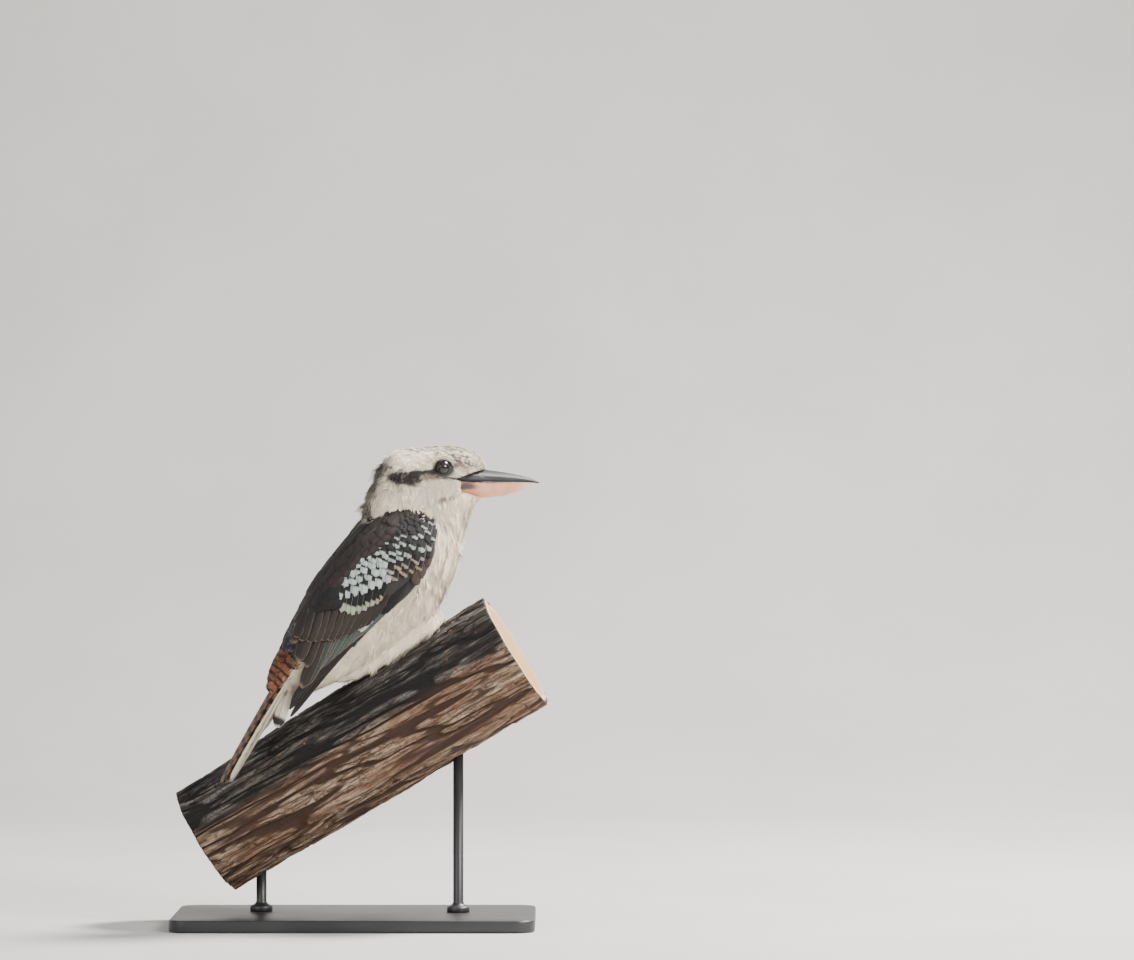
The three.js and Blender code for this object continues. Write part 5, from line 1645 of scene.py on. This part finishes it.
def many_tubes(name, grids, material):
    """Several closed tubes as one piece."""
    points, quads, same, start = [], [], [], 0
    for grid in grids:
        grid, one = shut_grid(grid)
        points.append(grid.reshape(-1, 3))
        quads.append(grid_quads(*grid.shape[:2]) + start)
        same.append(one.ravel() + start)
        start += one.size
    piece = make_mesh(name, to_world(np.concatenate(points)), np.concatenate(quads), material,
                      same=np.concatenate(same))
    return piece

# %% Skin and claw
foot_paint, cover, shader = new_material("foot_skin", Roughness=0.55)
place = cover.place()
scales = cover.cells(place, 620.0)
tone = cover.noise(place, 180.0, 3.0, 0.5)
colour = cover.blend(cover.ramp(tone, 0.3, 0.7), linear(104, 104, 88), linear(142, 138, 118))
colour = cover.blend(cover.ramp(scales, 0.09, 0.0), colour, linear(58, 56, 48))
cover_with(cover, shader, colour, scales, 0.0016)
claw_paint, cover, shader = new_material("claw_horn", Roughness=0.3, Coat_Weight=0.3)
place = cover.place()
tone = cover.noise(place, 500.0, 3.0, 0.5)
colour = cover.blend(cover.ramp(tone, 0.3, 0.7), linear(34, 30, 28), linear(72, 66, 58))
cover_with(cover, shader, colour, tone, 0.0003)

# %% Both feet
def toe_path(heel, heading, length, shares):
    """A toe's middle line on the limb: straight in plan, and lifted by the toe's own thickness."""
    x = heel[0] + math.cos(heading) * length * shares
    y = heel[1] + math.sin(heading) * length * shares
    lift = np.interp(shares, [0, 0.5, 0.85, 1.0, 1.14], [2.4, 2.3, 2.3, 2.1, 0.4])
    lift = lift + 0.45 * np.abs(np.sin(shares * 9.0))
    return np.stack([x, y, limb_height(x, y) + lift], -1)


for side_name, side in (("right", -1), ("left", 1)):
    heel = np.array([2.0, side * 15.0, 0.0])
    heel[2] = limb_height(heel[0], heel[1]) + 3
    ankle = np.array([-16.0, side * 14.0, heel[2] + 24])
    line = heel + (ankle - heel) * np.linspace(0, 1, 12)[:, None]
    grids = [tube(line, np.interp(np.linspace(0, 1, 12), [0, 0.5, 1], [3.1, 2.6, 3.4]))]
    claws = []
    toes = [(side * 0.36, 24), (side * 0.04, 29), (-side * 0.3, 25), (math.pi - side * 0.1, 15)]
    for heading, length in toes:
        shares = np.linspace(0, 0.97, 22)
        knuckle = 1 + 0.14 * np.cos(shares * 18.0)
        radii = np.interp(shares, [0, 0.3, 0.6, 0.9, 0.97], [2.8, 2.5, 2.3, 1.9, 1.2]) * knuckle
        grids.append(tube(toe_path(heel, heading, length, shares), radii))
        ends = np.linspace(0.9, 1.14, 12)
        claws.append(tube(toe_path(heel, heading, length, ends), np.linspace(1.5, 0.15, 12), 10))
    foot = many_tubes("foot_" + side_name, grids, foot_paint)
    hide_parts("leg_" + side_name)
    many_tubes("claws_" + side_name, claws, claw_paint)

# %% [markdown]
# ## The stand
# A museum's mount is meant to be overlooked: a satin black plate with softened edges, and two turned rods.

# %% Satin black
stand_paint, cover, shader = new_material("stand_satin_black", Coat_Weight=0.2, Coat_Roughness=0.35)
place = cover.place()
orange_peel = cover.noise(place, 900.0, 2.0, 0.5)
cloud = cover.noise(place, 9.0, 3.0, 0.6)
colour = cover.blend(cover.ramp(cloud, 0.3, 0.7), linear(30, 30, 33), linear(42, 42, 45))
cover.feed(shader.inputs["Roughness"], cover.plus(cover.times(cloud, 0.18), 0.34))
cover_with(cover, shader, colour, orange_peel, 0.00015, 0.4)

# %% The base plate
BASE_LENGTH, BASE_DEPTH, BASE_HEIGHT, BASE_CORNER, BASE_BEVEL = 350.0, 190.0, 12.0, 18.0, 2.0


def plate_ring(inset, z, count=160):
    """A rectangle with round corners, drawn in by inset, at a height."""
    turn = angles(count) + 0.001
    corner = BASE_CORNER - inset
    centre_x = np.sign(np.cos(turn)) * (BASE_LENGTH / 2 - BASE_CORNER)
    centre_y = np.sign(np.sin(turn)) * (BASE_DEPTH / 2 - BASE_CORNER)
    return np.stack([centre_x + corner * np.cos(turn), centre_y + corner * np.sin(turn), 0 * turn + z], -1)


bevel = np.linspace(0, math.pi / 2, 6)
profile = [(BASE_BEVEL * (1 - math.sin(a)), BASE_BEVEL * (1 - math.cos(a))) for a in bevel]
profile += [(BASE_BEVEL * (1 - math.cos(a)), BASE_HEIGHT - BASE_BEVEL * (1 - math.sin(a))) for a in bevel]
plate = np.stack([plate_ring(inset, z) for inset, z in profile])
base = surface("stand_plate", plate * MM, stand_paint)
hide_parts("stand_base")

# %% The two rods
def rod(name, x, node):
    """A turned rod: a collar on the base, a hollow curve, and a straight shaft up into the limb."""
    share = (x - limb_middle[0]) / limb_run[0]
    y = limb_middle[1] + share * limb_run[1]
    into_limb = 9
    top = limb_middle[2] + share * limb_run[2] - LIMB_RADIUS / math.cos(LIMB_SLOPE) + into_limb
    heights = np.array([12.2, 12.2, 12.6, 16.4, 17.2, 17.8, 19.0, 20.4, 22, top])
    radii = np.array([9, 10.6, 11, 11, 10.6, 9.4, 7.0, 5.6, 5.0, 5.0])
    turn = angles(48)[None, :]
    out_x, out_y = radii[:, None] * np.cos(turn), radii[:, None] * np.sin(turn)
    grid = np.stack([x + out_x, y + out_y, heights[:, None] + 0 * turn], -1)
    piece = surface(name, grid * MM, stand_paint)
    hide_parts(node)
    return piece


rod("stand_rod_short", -92.0, "stand_rod_low")
rod("stand_rod_tall", 100.0, "stand_rod_high")

# %% [markdown]
# ## Floor, light and camera
# A sweep of pale card runs under the stand and up behind it. Two soft lights from high on the right give
# the crown and breast their bright rim, and a broad weak one fills the near side. The camera looks
# straight across, from five metres, so that the long lens keeps the bird's proportions.

# %% The card
floor_paint, cover, shader = new_material("studio_card", Roughness=0.9)
place = cover.place()
colour = cover.blend(cover.ramp(cover.noise(place, 3.0, 4.0, 0.6), 0.3, 0.7), linear(190, 189, 186),
                     linear(196, 195, 192))
cover_with(cover, shader, colour)
sweep = np.linspace(0, 1, 60)
BEND_RADIUS = 1.4
bent_by = np.clip((sweep - 0.5) * 2.6, 0, 1) * math.pi / 2
depth_at = np.where(sweep < 0.5, -6 + 2 * sweep * 7.6, 1.6 + BEND_RADIUS * np.sin(bent_by))
rise = BEND_RADIUS * (1 - np.cos(bent_by)) + np.maximum(0, (sweep - 0.885) * 22)
height_at = np.where(sweep < 0.5, 0, rise)
wide_at = np.linspace(-6, 6, 30)
card = np.stack(np.broadcast_arrays(wide_at[None, :], depth_at[:, None], height_at[:, None]), -1)
floor_mesh = bpy.data.meshes.new("studio_floor")
floor_faces = grid_quads(*card.shape[:2]).tolist()
floor_mesh.from_pydata(card.reshape(-1, 3).tolist(), [], floor_faces)
floor_mesh.polygons.foreach_set("use_smooth", [True] * len(floor_faces))
floor_mesh.materials.append(floor_paint)
floor = bpy.data.objects.new("studio_floor", floor_mesh)
bpy.context.scene.collection.objects.link(floor)

# %% Lights
def soft_light(name, location, target, size, power, colour):
    """A square area light that faces its target."""
    lamp = bpy.data.lights.new(name, "AREA")
    lamp.size = size
    lamp.energy = power
    lamp.color = colour
    holder = bpy.data.objects.new(name, lamp)
    away = np.array(location) - np.array(target)
    holder.location = location
    pitch = math.atan2(math.hypot(away[0], away[1]), away[2])
    holder.rotation_euler = (pitch, 0, math.atan2(away[1], away[0]) + math.pi / 2)
    bpy.context.scene.collection.objects.link(holder)


CENTRE = (0.02, 0, 0.3)
soft_light("key_light", (1.5, 0.7, 2.4), CENTRE, 0.6, 270, (1, 0.965, 0.91))
soft_light("side_light", (1.9, -1.7, 1.5), CENTRE, 0.9, 90, (1, 0.965, 0.92))
soft_light("fill_light", (-2.0, -2.3, 1.4), CENTRE, 1.8, 42, (0.95, 0.97, 1))
world = bpy.data.worlds.new("studio_air")
world.use_nodes = True
world.node_tree.nodes["Background"].inputs["Color"].default_value = (0.9, 0.92, 0.95, 1)
world.node_tree.nodes["Background"].inputs["Strength"].default_value = 0.52
bpy.context.scene.world = world

# %% The camera
camera_data = bpy.data.cameras.new("camera")
camera_data.lens = 163.6
camera_data.sensor_width = 36
camera_data.clip_end = 50
camera = bpy.data.objects.new("camera", camera_data)
camera.location = (0.2056, -5.0, 0.4317)
camera.rotation_euler = (math.pi / 2, 0, 0)
bpy.context.scene.collection.objects.link(camera)
bpy.context.scene.camera = camera
